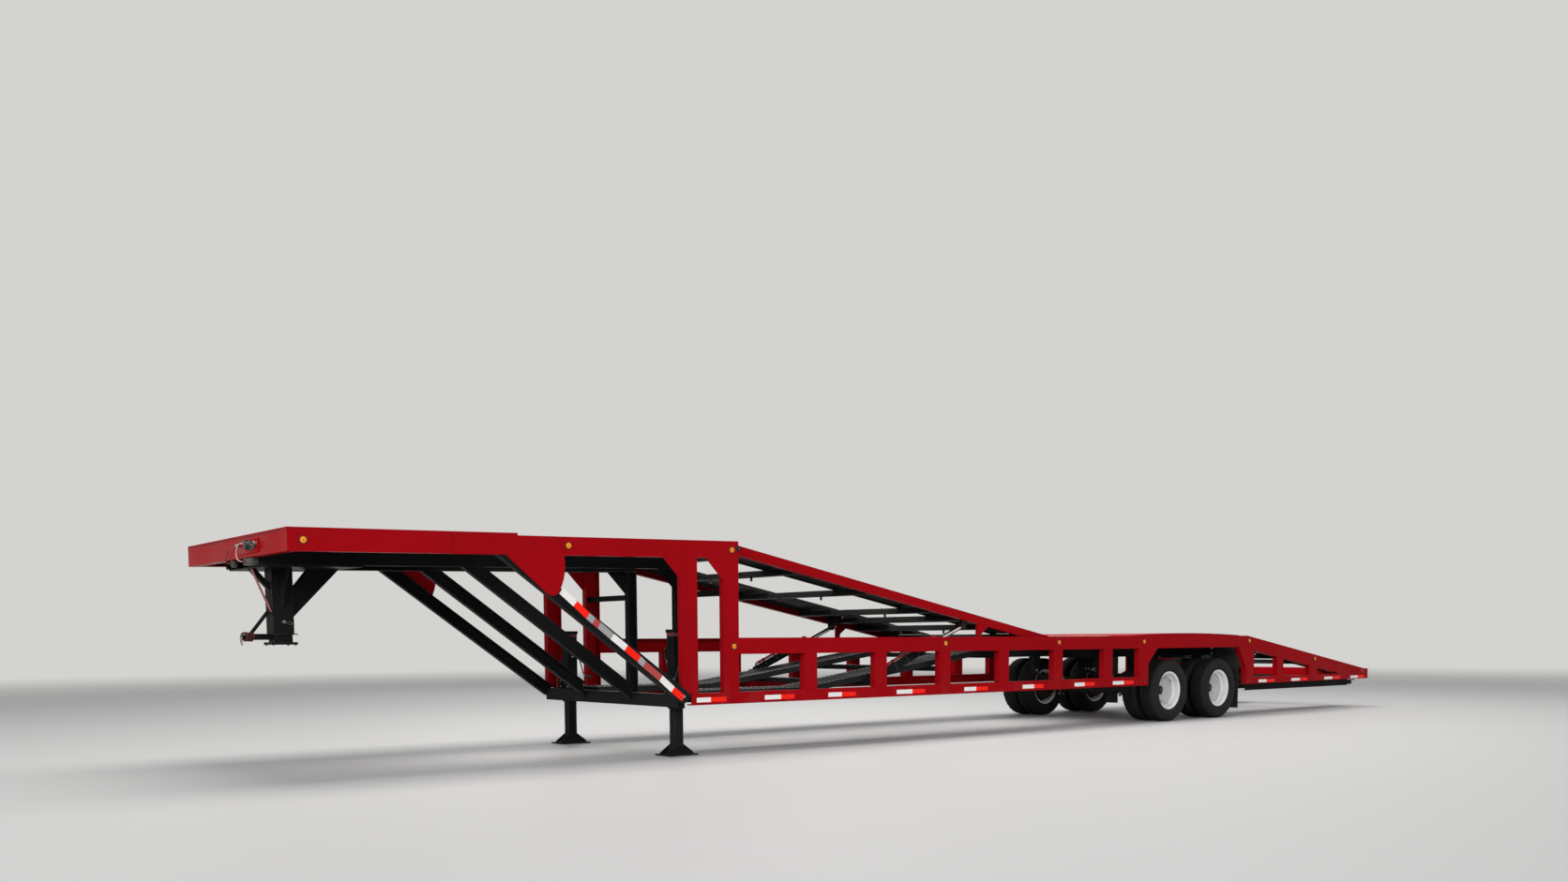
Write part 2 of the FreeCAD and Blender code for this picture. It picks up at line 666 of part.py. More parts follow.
for key, amount in (("Radius", stay_radius), ("Height", 320),
                    ("Placement.Base.x", d.arm_front + 45 - half_length),
                    ("Placement.Base.z", arm_top - d.arm_wall / 2),
                    ("Placement.Rotation.Angle", 90 - stay_slope)):
    stay.setExpression(key, size(amount).text)
behind_face = block("behind_post_face", d.post_front, -50, d.post_base, 300, 100, 400)
socket_foot = joined("socket_foot", [
    block("socket_flange", post_middle - plate_half, -plate_half, d.socket_base,
          d.socket_plate, d.socket_plate, d.socket_plate_thick),
    block("socket_block", post_middle - socket_half, -socket_half, tube_base,
          d.socket_size, d.socket_size, d.socket_block),
    inner_tube, place(arm, post_middle - socket_half),
    block("arm_collar", collar_front, -d.post_size / 2 - 8, arm_top, collar_length,
          d.post_size + 16, collar_thick),
    less("stay_cut", stay, behind_face)])
pin_reach_out, pin_head = d.post_size / 2, 14
coupler_pin = joined("coupler_pin", [
    bar("coupler_pin_shank", d.coupler_pin, pin_reach_out * 2 + 10, post_middle,
        -(pin_reach_out + 5), d.coupler_pin_height),
    bar("coupler_pin_head", d.coupler_pin + 9, pin_head, post_middle,
        -(pin_reach_out + pin_head), d.coupler_pin_height),
    bar("coupler_pin_nut", d.coupler_pin + 9, pin_head, post_middle, pin_reach_out,
        d.coupler_pin_height)])
ball_hole = doc.addObject("Part::Cylinder", "ball_hole")
for key, amount in (("Radius", d.ball_radius),
                    ("Height", d.socket_plate_thick + d.socket_block),
                    ("Placement.Base.x", post_middle - half_length),
                    ("Placement.Base.z", d.socket_base)):
    ball_hole.setExpression(key, size(amount).text)
finish("coupler_socket", group("coupler_socket_set", [
    less("coupler_socket_cut", socket_foot, ball_hole), coupler_pin]))

# Fittings at the header: a plate with the lighting socket and two hose couplings, a junction
# box and a clip under the header, and the two leads that hang between them.
fitting_parts = [block("fitting_plate", -8, -650, 1778, 8, 500, 104)]
# name, radius, length, across, height of each round fitting on the plate
for name, radius, long, across, height in (
        ("lamp_socket", 33, 46, -470, 1836), ("coupling_a", 23, 34, -565, 1822),
        ("coupling_b", 23, 34, -618, 1842)):
    fitting_parts.append(lamp_stud(name, radius, long + 1, -7 - long, across, height))
lead_reach, elbow = 28, 26                  # leads' distance before the header, elbow's width
lead_a_start, lead_b_start = (-180, 1850), (-380, 1862)
for name, (across, height) in (("a", lead_a_start), ("b", lead_b_start)):
    fitting_parts.append(block(f"lead_elbow_{name}", -lead_reach - elbow / 2, across - elbow,
                               height - elbow / 2, lead_reach + elbow / 2 - 7, elbow, elbow))
header_base = d.neck_front_top - d.neck_depth
junction_depth = 58
fittings = [joined("fitting_weld", fitting_parts),
            block("junction_box", 10, -430, header_base - junction_depth, 62, 210,
                  junction_depth),
            block("lead_clip", 10, 60, header_base - junction_depth, 40, 46, junction_depth)]
finish("header_fittings", group("header_fitting_set", fittings))

lead_height = (header_base - junction_depth / 2).value
finish("header_leads", group("header_lead_pair", [
    hose("lead_a", [
        (-lead_reach, *lead_a_start), (-lead_reach, -135, 1850), (-35, -80, 1848),
        (-42, -20, 1830), (-44, 36, 1792), (-43, 62, 1764), (-42, 74, 1745), (-34, 80, 1731),
        (-20, 83, lead_height), (10, 83, lead_height)], d.lead_radius),
    hose("lead_b", [
        (-lead_reach, *lead_b_start), (-lead_reach, -340, 1862), (-36, -292, 1862),
        (-43, -252, 1838), (-46, -232, 1798), (-44, -230, 1768), (-42, -237, 1745),
        (-34, -244, 1731),
        (-20, -250, lead_height), (10, -250, lead_height)], d.lead_radius)]))

# ---------------------------------------------------------------- gooseneck
slope = math.radians(d.diagonal_slope.value)
run, fall = math.cos(slope), math.sin(slope)       # along a diagonal, forwards and down
half_depth = d.diagonal_depth / 2


def beside(distance, offset):
    """A point beside a diagonal's centre line, a distance up from its foot centre."""
    return (d.diagonal_foot - distance * run + offset * fall,
            d.diagonal_foot_height + distance * fall + offset * run)


def under(underside, offset):
    """The point where a diagonal's edge meets the underside of a rising neck beam."""
    rise = underside(d.diagonal_foot + offset * fall) - d.diagonal_foot_height - offset * run
    return beside(rise / (neck_incline * run + fall), offset)


def station_below(height, offset):
    """The station where a diagonal's edge is at a height."""
    return beside((height - d.diagonal_foot_height - offset * run) / fall, offset)[0]


def height_at(station, offset):
    """The height of a diagonal's edge at a station."""
    return beside((d.diagonal_foot - station + offset * fall) / run, offset)[1]


# Outer diagonals: channels from the neck rail to the lower rail, with a round foot.
outer_corners = [
    under(neck_underside, -half_depth),
    (*beside(0, -half_depth), half_depth),
    (*beside(-half_depth, 0), half_depth),
    beside(0, half_depth),
    under(neck_underside, half_depth)]
inset = half_depth - d.lip
outer_hollow = [
    beside(2600, -inset), beside(-half_depth, -inset), beside(-half_depth, inset),
    beside(2600, inset)]
both_sides("outer_diagonals", side_channel(
    "outer_diagonal", outer_corners, outer_hollow, flange=d.inner_beam_flange))

# Fish plate: a rounded plate laid over the neck rail and the head of the diagonal.
fish_corners = [
    (1284, neck_top(1284) - d.neck_depth), (1769, neck_top(1769) - d.neck_depth),
    (2134, 1486, 75), (2262, 1512, 420), (2306, 1800, 500),
    (2222, neck_top(2222)), (1280, neck_top(1280), -95)]
both_sides("fish_plates", side_plate("fish_plate", fish_corners, d.half_width))

# Inner diagonals: channels from the inner neck beams to the front cross beam.
foot_at = d.front_beam_front
inner_corners = [
    under(inner_beam_underside, -half_depth), (foot_at, height_at(foot_at, -half_depth)),
    (foot_at, height_at(foot_at, half_depth)), under(inner_beam_underside, half_depth)]
inner_hollow = [
    beside(2600, -inset), beside(-200, -inset), beside(-200, inset), beside(2600, inset)]
inner_diagonal = side_channel(
    "inner_diagonal", inner_corners, inner_hollow, flange=d.inner_beam_flange,
    face=d.inner_beam_place + d.inner_beam_flange / 2)

# Front cross beam: a channel across the feet of the diagonals.
finish("front_cross_beam", cross_channel(
    "front_beam", d.front_beam_front + d.front_beam_width / 2, d.front_beam_top,
    (rail_face - d.inner_beam_flange) * 2, d.front_beam_top - d.front_beam_base,
    width=d.front_beam_width))

# Inner uprights with their gussets, and the ties that join them to the side uprights.
upright_base = d.well_top - d.track_depth
upright_front, upright_rear = 4010, inner_beam_end
hollow_front, hollow_rear = upright_front + d.lip, upright_rear - d.lip
inner_upright = side_channel("inner_upright", [
    (upright_front, upright_base), (upright_rear, upright_base),
    (upright_rear, inner_beam_underside(upright_rear)),
    (upright_front, inner_beam_underside(upright_front))], [
    (hollow_front, upright_base - d.lip), (hollow_rear, upright_base - d.lip),
    (hollow_rear, inner_beam_top(hollow_rear)), (hollow_front, inner_beam_top(hollow_front))],
    flange=d.inner_beam_flange, face=d.inner_beam_place + d.inner_beam_flange / 2)
gusset_end = upright_front - d.gusset_run
inner_gusset = side_plate("inner_gusset", [
    (upright_front, inner_beam_underside(upright_front) - d.gusset_drop),
    (upright_front, inner_beam_underside(upright_front)),
    (gusset_end, inner_beam_underside(gusset_end))], d.inner_beam_place + d.inner_beam_flange / 2)
tie_outer = web_inner - 2
tie_front, tie_base, tie_size = 4040, 1495, 55
tie = block("upright_tie", tie_front, -tie_outer, tie_base, tie_size,
            tie_outer - d.inner_beam_place - d.inner_beam_flange / 2, tie_size)
inner_weld = joined("inner_upright_weld", [inner_upright, inner_gusset, tie])
both_sides("gooseneck_inner_frame", group("inner_frame", [inner_diagonal, inner_weld]))

# ---------------------------------------------------------------- side frames
lower_rail = side_channel("lower_rail_channel", [
    (d.rail_front, d.rail_base), (d.rail_end, d.rail_base),
    (d.rail_end, d.rail_top), (d.rail_front, d.rail_top)], [
    (d.rail_front - 50, d.rail_base + d.lip), (d.rail_end + 50, d.rail_base + d.lip),
    (d.rail_end + 50, d.rail_top - d.lip), (d.rail_front - 50, d.rail_top - d.lip)])

# Base bracket of a lift cylinder: a stub beam inside the rail carries two lugs and the pin.
lug_gap = d.eye_width / 2 + 1
pin_span = lug_gap * 2 + 16
stub_half, stub_depth = 45, 62
stub_top = d.rail_top - d.lip
bracket_parts = [block(
    "base_stub", d.base_pin_station - stub_half, -web_inner, stub_top - stub_depth,
    stub_half * 2, web_inner - d.cylinder_place + lug_gap + 8, stub_depth)]
for name, across in (("in", d.cylinder_place - lug_gap), ("out", d.cylinder_place + lug_gap + 8)):
    bracket_parts.append(side_plate(f"base_lug_{name}", [
        (d.base_pin_station - stub_half, stub_top), (d.base_pin_station + stub_half, stub_top),
        (d.base_pin_station + 26, d.base_pin_height + 12),
        (d.base_pin_station - 26, d.base_pin_height + 12)], across, 8))
bracket_parts.append(bar("base_pin", d.pin_radius, pin_span, d.base_pin_station,
                         -(d.cylinder_place + pin_span / 2), d.base_pin_height))
finish_sides("lower_rail", joined("lower_rail_weld", [lower_rail, *bracket_parts]))

mid_front = d.post_b + d.upright_width
mid_rail = side_channel("mid_rail_channel", [
    (mid_front, d.mid_base), (d.mid_end, d.mid_base),
    (d.mid_end, d.deck_top), (mid_front, d.deck_top)], [
    (mid_front - 50, d.mid_base + d.lip), (d.mid_end + 50, d.mid_base + d.lip),
    (d.mid_end + 50, d.deck_top - d.lip), (mid_front - 50, d.deck_top - d.lip)])
# Seat on which the lowered ramp's leg comes to rest.
ramp_seat = block("ramp_seat", d.leg_front - 10, -web_inner, d.mid_base + d.lip,
                  80, web_inner - d.ramp_outer + 45, 85)
finish_sides("mid_rail", joined("mid_rail_weld", [mid_rail, ramp_seat]))


def upright(name, front, base, top, width, toe=None):
    """A post of the side frame, a channel standing on end and open inwards; its toe is the
    list of corners at its front lower end."""
    return side_channel(name, [
        *(toe or [(front, base)]), (front + width, base), (front + width, top(front + width)),
        (front, top(front))], [
        (front + d.lip, base - 50), (front + width - d.lip, base - 50),
        (front + width - d.lip, top(front + width) + 50), (front + d.lip, top(front) + 50)])


def mid_underside(_station):
    """Height of the mid rail's underside."""
    return d.mid_base


posts = []
clear_of_diagonal = half_depth + 1
cut_toe = [(d.post_a, height_at(d.post_a, clear_of_diagonal)),
           (station_below(d.rail_top, clear_of_diagonal), d.rail_top)]
for name, front, toe in (("upright_a", d.post_a, cut_toe), ("upright_b", d.post_b, None)):
    post = upright(name, front, d.rail_top, neck_underside, d.upright_width, toe)
    brace = side_plate(name + "_gusset", [
        (front, neck_underside(front) - d.gusset_drop),
        (front, neck_underside(front)),
        (front - d.gusset_run, neck_underside(front - d.gusset_run))])
    posts.append(joined(name + "_weld", [post, brace]))
for i in range(6):
    front = d.side_post_first + d.side_post_pitch * i - d.side_post_width / 2
    posts.append(upright(f"side_post_{i}", front, d.rail_top, mid_underside, d.side_post_width))
arch_post = upright("arch_post", d.arch_post_front, d.rail_top, mid_underside,
                    d.arch_post_width)
arch_end = d.arch_post_front + d.arch_post_width
arch_gusset = side_plate("arch_gusset", [
    (arch_end, d.mid_base - d.arch_gusset), (arch_end + d.arch_gusset, d.mid_base),
    (arch_end, d.mid_base)])
posts.append(joined("arch_post_weld", [arch_post, arch_gusset]))
finish_sides("side_posts", group("side_post_row", posts))

# ---------------------------------------------------------------- belly
well_cross_top = d.well_top - d.track_depth
axle_cross_top = d.deck_top - d.track_depth
climb = (d.deck_top - d.well_top) / (d.crest - d.well_end)
climb_tilt = -math.degrees(math.atan(climb.value))
belly_cross = []
for i, at in enumerate((3830, 4065, 5052)):
    belly_cross.append(cross_channel(
        f"well_cross_{i}", at, well_cross_top, web_inner * 2, d.belly_cross_depth))
for i in range(1, 4):
    at = d.side_post_first + d.side_post_pitch * i
    height = d.well_top + climb * (at - d.well_end) - d.track_depth
    belly_cross.append(cross_channel(
        f"climb_cross_{i}", at, height, web_inner * 2, d.belly_cross_depth, climb_tilt))
for i, at in enumerate((8890, 9817, 10540, 11300, 12060, 12830)):
    belly_cross.append(cross_channel(
        f"axle_cross_{i}", at, axle_cross_top, web_inner * 2, d.axle_cross_depth))
finish("belly_cross_members", group("belly_cross", belly_cross))

both_sides("belly_runways", runway("belly_track", [
    (d.well_front, d.well_top), (d.well_end, d.well_top), (d.crest, d.deck_top),
    (d.mid_end, d.deck_top)], d.track_depth))

# Crowned deck plate over the wheels, a sheet folded down at its sides onto the mid rails.
crown = new_body("crown")
crown_run = (d.crown_end - d.crown_front) / 2
crown_radius = (crown_run * crown_run) / (d.crown_height * 2) + d.crown_height / 2
pad(crown, sketch(crown, [
    (d.crown_front, d.deck_top), (d.crown_end, d.deck_top),
    (d.crown_end, d.deck_top + d.crown_thick, crown_radius),
    (d.crown_front, d.deck_top + d.crown_thick)]), rail_face * 2, centred=True)
crown_land = 20
pocket(crown, sketch(crown, [
    (d.crown_front + crown_land, d.deck_top - 5), (d.crown_end - crown_land, d.deck_top - 5),
    (d.crown_end - crown_land, d.deck_top, crown_radius),
    (d.crown_front + crown_land, d.deck_top)]), web_inner * 2, centred=True)
finish("axle_deck", place(crown))

# Chassis beams with the spring hangers welded under them.
beam_top = axle_cross_top - d.axle_cross_depth
beam_base = beam_top - d.beam_depth
beam_tube = block("beam_tube", d.beam_front, -d.beam_inner - d.beam_width, beam_base,
                  d.beam_end - d.beam_front, d.beam_width, d.beam_depth)
beam_bore = block("beam_bore", d.beam_front - 10, 8 - d.beam_inner - d.beam_width,
                  beam_base + 8, d.beam_end - d.beam_front + 20, d.beam_width - 16,
                  d.beam_depth - 16)
spring_half = d.spring_span / 2
spring_end_top = d.spring_eye + d.spring_tip
beam_parts = [less("beam", beam_tube, beam_bore)]
hangers = (("front", d.axle_front - spring_half, 45),
           ("middle", (d.axle_front + d.axle_rear) / 2, 90),
           ("rear", d.axle_rear + spring_half, 45))
for name, at, half in hangers:
    hanger = new_body(f"hanger_{name}")
    pad(hanger, sketch(hanger, [
        (at - half, spring_end_top), (at + half, spring_end_top), (at + half + 30, beam_base),
        (at - half - 30, beam_base)]), d.beam_width)
    beam_parts.append(place(hanger, 0, -d.beam_inner - d.beam_width))
both_sides("chassis_beams", joined("chassis_beam_weld", beam_parts))

# ---------------------------------------------------------------- tail
tail_corners = [
    (d.arch_rear, d.tail_base), (d.tail_end, d.tail_base), (d.tail_end, tail_top(d.tail_end)),
    (d.mid_end, d.deck_top), (d.mid_end, d.mid_base), (d.arch_rear - d.arch_gusset, d.mid_base),
    (d.arch_rear, d.mid_base - 280)]
tail_frame = side_plate("tail_frame_plate", tail_corners, rail_face, d.flange)
first_window = d.arch_rear + d.arch_post_width
window_ends = (d.tail_post_a, d.tail_post_b, None)
window_starts = (first_window, d.tail_post_a + d.tail_post_width,
                 d.tail_post_b + d.tail_post_width + 46)


def tail_underside(station):
    """Height of the sloping tail rail's underside at a station."""
    return tail_top(station) - d.tail_depth


for front, rear in zip(window_starts, window_ends):
    if rear is None:
        tip = d.mid_end + (d.deck_top - d.tail_depth - d.tail_rail_top) / tail_fall
        window = [(front, d.tail_rail_top), (tip, d.tail_rail_top),
                  (front, tail_underside(front))]
    else:
        window = [(front, d.tail_rail_top), (rear, d.tail_rail_top),
                  (rear, tail_underside(rear)), (front, tail_underside(front))]
    pocket(tail_frame, sketch(tail_frame, window, shift=-d.flange), d.flange)
depth_of_hollow = d.flange - d.plate
rail_hollow = strip(d.mid_end + 12, 15300, tail_top(d.mid_end + 12) - d.lip,
                    tail_top(15300) - d.lip, d.tail_depth - d.lip * 2)
pocket(tail_frame, sketch(tail_frame, rail_hollow, shift=-d.flange), depth_of_hollow)
low_hollow = [(first_window, d.tail_base + d.lip), (15300, d.tail_base + d.lip),
              (15300, d.tail_rail_top - d.lip), (first_window, d.tail_rail_top - d.lip)]
pocket(tail_frame, sketch(tail_frame, low_hollow, shift=-d.flange), depth_of_hollow)
finish_sides("tail_frame", tail_frame)

both_sides("tail_runways", runway("tail_track", [
    (d.mid_end, d.deck_top), (d.tail_end, tail_top(d.tail_end))], d.track_depth))

# Cross members of the tail: five under the runways, four under the lower rails, one at the end.
tilt = math.degrees(math.atan(tail_fall.value))
tail_cross = []
for i, at in enumerate((13200, 13750, 14300, 14850)):
    tail_cross.append(cross_channel(
        f"tail_cross_{i}", at, tail_top(at) - d.track_depth, rail_inner * 2, 60, tilt))
for i, at in enumerate((13350, 14250, 15150, 15900)):
    tail_cross.append(cross_channel(
        f"tail_low_cross_{i}", at, d.tail_base + 40, rail_inner * 2, 36))
rear_beam = block("rear_beam", d.tail_end, -rail_face, d.tail_base,
                  d.overall_length - d.tail_end, rail_face * 2, d.tail_end_top - d.tail_base)
tail_cross.append(rear_beam)
finish("tail_cross_members", group("tail_cross", tail_cross))

# ---------------------------------------------------------------- loading ramps
guide_top = d.tail_base + 4
guide_front, guide_run = 13250, 2850
guide_base, guide_wall, guide_lip = 334, 10, 30
guides = []
# name, outer face of the upright web, outer face of the lip
for name, web_face, lip_face in (
        ("outer", d.loader_inner + d.loader_width + 17, d.loader_inner + d.loader_width + 17),
        ("inner", d.loader_inner - 7, d.loader_inner - 7 - guide_wall + guide_lip)):
    guides.append(joined(f"guide_{name}", [
        block(f"guide_{name}_web", guide_front, -web_face, guide_base, guide_run, guide_wall,
              guide_top - guide_base),
        block(f"guide_{name}_lip", guide_front, -lip_face, guide_base, guide_run, guide_lip,
              guide_wall + 2)]))
both_sides("ramp_guides", group("guide_pair", guides))

# Loading ramps: two side channels open to each other, rungs of channel between them, and a
# hooked plate at the front that hangs on the tail when the ramp is in use.
loader_length = d.loader_end - d.loader_front
loader_web = d.loader_bar - d.loader_wall
loader_bars = []
for name, across, hollow_from in (
        ("inner", d.loader_inner, d.loader_inner + d.loader_wall),
        ("outer", d.loader_inner + d.loader_width - d.loader_bar,
         d.loader_inner + d.loader_width - d.loader_bar)):
    loader_bars.append(less(f"loader_bar_{name}", block(
        f"loader_bar_{name}_outside", d.loader_front, -(across + d.loader_bar), d.loader_base,
        loader_length, d.loader_bar, d.loader_depth), block(
        f"loader_bar_{name}_hollow", d.loader_front - 1, -(hollow_from + loader_web),
        d.loader_base + d.loader_wall, loader_length + 2, loader_web,
        d.loader_depth - d.loader_wall * 2)))
rung_count, rung_width, rung_depth, rung_base = 9, 60, 50, 10
rung_pitch = (loader_length - rung_width - 20) / (rung_count - 1)
rung_span = d.loader_width - d.loader_wall * 2 + 2
loader_middle = d.loader_inner + d.loader_width / 2
for i in range(rung_count):
    rung = cross_channel(
        f"loader_rung_{i}", d.loader_front + 10 + rung_width / 2 + rung_pitch * i,
        d.loader_base + rung_base + rung_depth, rung_span, rung_depth, width=size(rung_width))
    rung.setExpression("Placement.Base.y", (-loader_middle).text)
    loader_bars.append(rung)
loader_top = d.loader_base + d.loader_depth
hook = new_body("loader_hook")
pad(hook, sketch(hook, [
    (d.loader_front + 20, loader_top - 22), (d.loader_front + 20, loader_top - 12),
    (d.loader_front - 48, loader_top - 12), (d.loader_front - 48, loader_top - 48),
    (d.loader_front - 38, loader_top - 48), (d.loader_front - 38, loader_top - 22)]),
    d.loader_width - d.loader_bar, centred=True)
loader_bars.append(place(hook, 0, -loader_middle))
finish_sides("loading_ramp", joined("loading_ramp_weld", loader_bars))

# ---------------------------------------------------------------- running gear
axles = []
for name, at in (("front", d.axle_front), ("rear", d.axle_rear)):
    tube_half = d.dual_place - 233
    spindle_half = d.dual_place - 40
    seat_half = d.spring_flat - 5
    seat_across = d.beam_inner + 3
    seat = block(f"spring_seat_{name}", at - seat_half, -(seat_across + d.beam_width - 6),
                 d.tyre_radius, seat_half * 2, d.beam_width - 6, d.spring_seat - d.tyre_radius)
    axles.append(joined(f"axle_{name}", [
        seat, mirrored(seat, f"spring_seat_{name}_twin"),
        bar(f"axle_tube_{name}", d.axle_radius, tube_half * 2, at, -tube_half, d.tyre_radius),
        bar(f"spindle_{name}", d.spindle_radius, spindle_half * 2, at, -spindle_half,
            d.tyre_radius)]))
finish("axles", group("axle_pair", axles))

# Leaf springs: a main leaf over four shorter ones, flat at the middle and at its ends.
SHORT_LEAVES = (0.24, 0.42, 0.6, 0.78)      # ends of the short leaves, shares of the curved run
short_leaf = (d.spring_thick - d.spring_tip) / len(SHORT_LEAVES)
leaf_run = spring_half - 3 - d.spring_flat * 2
leaf_rise = d.spring_eye - d.spring_seat - short_leaf * len(SHORT_LEAVES)
leaf_bow = leaf_run * leaf_run / (leaf_rise * 2)


def leaf_step(order):
    """How far out of the flat middle a short leaf ends, and the height of its underside there."""
    share = SHORT_LEAVES[order]
    return leaf_run * share, d.spring_seat + short_leaf * order + leaf_rise * (share * share)


springs = []
for name, at in (("front", d.axle_front), ("rear", d.axle_rear)):
    body = new_body(f"spring_{name}")
    flat, half = d.spring_flat, spring_half - 3
    top = d.spring_seat + d.spring_thick
    ahead, astern = [], []
    for order in range(len(SHORT_LEAVES)):
        out, low = leaf_step(order)
        astern += [(at + flat + out, low), (at + flat + out, low + short_leaf, leaf_bow)]
        ahead = [(at - flat - out, low + short_leaf), (at - flat - out, low, leaf_bow)] + ahead
    pad(body, sketch(body, [
        (at - flat, d.spring_seat), (at + flat, d.spring_seat, leaf_bow), *astern,
        (at + half - flat, d.spring_eye), (at + half, d.spring_eye),
        (at + half, spring_end_top), (at + half - flat, spring_end_top, -leaf_bow),
        (at + flat, top), (at - flat, top, -leaf_bow), (at - half + flat, spring_end_top),
        (at - half, spring_end_top), (at - half, d.spring_eye),
        (at - half + flat, d.spring_eye, leaf_bow), *ahead]), d.beam_width - 6, centred=True)
    springs.append(place(body, 0, -(d.beam_inner + d.beam_width / 2)))
both_sides("leaf_springs", group("spring_pair", springs))


def revolved(name, corners, station, across, facing=-1):
    """A ring about the cross axis: (radius, outward) corners from the mounting plane."""
    body = new_body(name)
    turned = [(radius, size(outward) * facing, *(bulge * facing for bulge in bulges))
              for radius, outward, *bulges in corners]
    drawing = sketch(body, turned, plane="XY_Plane")
    ring = body.newObject("PartDesign::Revolution", name + "_turn")
    ring.Profile = drawing
    ring.ReferenceAxis = (drawing, ["V_Axis"])
    ring.Angle = 360
    return place(body, station, across, d.tyre_radius)


def tyre_section(middle):
    """Half-section of a tyre about its own middle plane, beads against the rim."""
    half, crown_edge = d.tyre_width / 2, d.tyre_radius
    return [
        (229, middle - 72), (245, middle - 78), (247, middle - 92),
        (crown_edge - 90, middle - half),
        (crown_edge - 14, middle - half + 14, 22), (crown_edge, middle - half + 34),
        (crown_edge, middle + half - 34, 22), (crown_edge - 14, middle + half - 14),
        (crown_edge - 90, middle + half), (247, middle + 92), (245, middle + 78),
        (229, middle + 72)]


# Rim and dished disc of one wheel: (radius, outward) from its mounting face, and the radius
# of the arcs that dish the disc.
RIM = ((244, 222), (244, 214), (229, 209), (225, 150), (208, 128), (208, 92), (224, 66),
       (229, 60), (244, 55), (244, 47), (217, 52), (212, 66), (204, 84, -132), (160, 0),
       (82, 0), (82, 12), (154, 12, 120), (196, 100), (198, 134), (217, 156),
       (220, 216), (232, 222))
# Hub with its cap and the brake drum behind it, (radius, outward) from the mounting plane.
HUB = ((45.3, -226), (165, -226), (165, -214), (178, -210), (178, -198), (172, -194),
       (172, -60), (95, -40), (95, -1), (82, -1), (82, 30), (72, 42), (58, 44),
       (56, 82, 12), (44, 94), (0, 94), (0, -30), (45.3, -30))
HAND_HOLES, HAND_HOLE_RADIUS, HAND_HOLE_PLACE = 3, 21, 172


def rim(name, station, across, facing):
    """A rim with its dished disc and the round hand holes through it."""
    body = revolved(name, RIM, station, across, facing)
    pocket(body, circle(body, -HAND_HOLE_PLACE, HAND_HOLE_RADIUS), d.tyre_width * 2, centred=True)
    hole = body.Tip
    ring = body.newObject("PartDesign::PolarPattern", name + "_hand_holes")
    ring.Originals = [hole]
    ring.Axis = ([f for f in body.Origin.OriginFeatures if f.Role == "Y_Axis"][0], [""])
    ring.Angle = 360
    ring.Occurrences = HAND_HOLES
    body.Tip = ring
    return body


sides = (("left", -1), ("right", 1))
ends = (("front", d.axle_front), ("rear", d.axle_rear))
for end, station in ends:
    for side, facing in sides:
        where = f"{end}_{side}"
        across = d.dual_place * facing
        outer_tyre = revolved(f"tyre_out_{where}", tyre_section(d.dual_half_gap), station,
                              across, facing)
        inner_tyre = revolved(f"tyre_in_{where}", tyre_section(-d.dual_half_gap), station,
                              across, facing)
        finish(f"tyres_{where}", group(f"tyre_pair_{where}", [outer_tyre, inner_tyre]))
        outer_rim = rim(f"rim_out_{where}", station, across, facing)
        inner_rim = rim(f"rim_in_{where}", station, across, -facing)
        hub = revolved(f"hub_{where}", HUB, station, across, facing)
        finish(f"wheels_{where}", joined(f"wheel_weld_{where}", [outer_rim, inner_rim, hub]))

# Mud flaps hang from the cross member behind the wheels.
both_sides("mud_flaps", block(
    "flap", 12812, -(d.flap_inner + d.flap_width), d.flap_base, 8, d.flap_width,
    beam_top - d.flap_base))

# ---------------------------------------------------------------- lamps
# Marker lamps on the side frames, (station, height): a rubber grommet with its lens.
MARKERS = ((119, 1838), (2355, 1887), (4090, 1918), (4105, 1018), (6963, 1030), (8875, 1030),
           (10539, 1030), (12948, 1030))


def side_lamp(name, station, height):
    """A round lamp on the outer face of the left side frame."""
    grommet = bar(name + "_grommet", d.lamp_radius, 5, station, -(rail_face + 5), height)
    lens = bar(name + "_lens", d.lens_radius, d.lamp_proud, station,
               -(rail_face + d.lamp_proud), height)
    return joined(name, [grommet, lens])


both_sides("marker_lights", group("marker_row", [
    side_lamp(f"marker_{i}", *spot) for i, spot in enumerate(MARKERS)]))

# Tail lamps: a side lamp on each sloping rail, two lamps at each end of the rear beam and
# three small ones at its middle.
rear_lamp_height = (d.tail_base + d.tail_end_top) / 2
rear_lamps = [side_lamp("tail_side_lamp", 14700, 760)]
for name, across in (("outer", 1120), ("inner", 980)):
    rear_lamps.append(lamp_stud(f"stop_lamp_{name}", d.stop_lamp_radius, d.lamp_proud,
                                d.overall_length, -across, rear_lamp_height))
rear_lamps.append(lamp_stud("middle_lamp_side", d.lens_radius, d.lamp_proud,
                            d.overall_length, -165, rear_lamp_height))
left_lamps = group("rear_lamp_row", rear_lamps)
finish("tail_lights", group("tail_lamps", [
    left_lamps, mirrored(left_lamps, "rear_lamp_twin"),
    lamp_stud("middle_lamp", d.lens_radius, d.lamp_proud, d.overall_length, 0,
              rear_lamp_height)]))

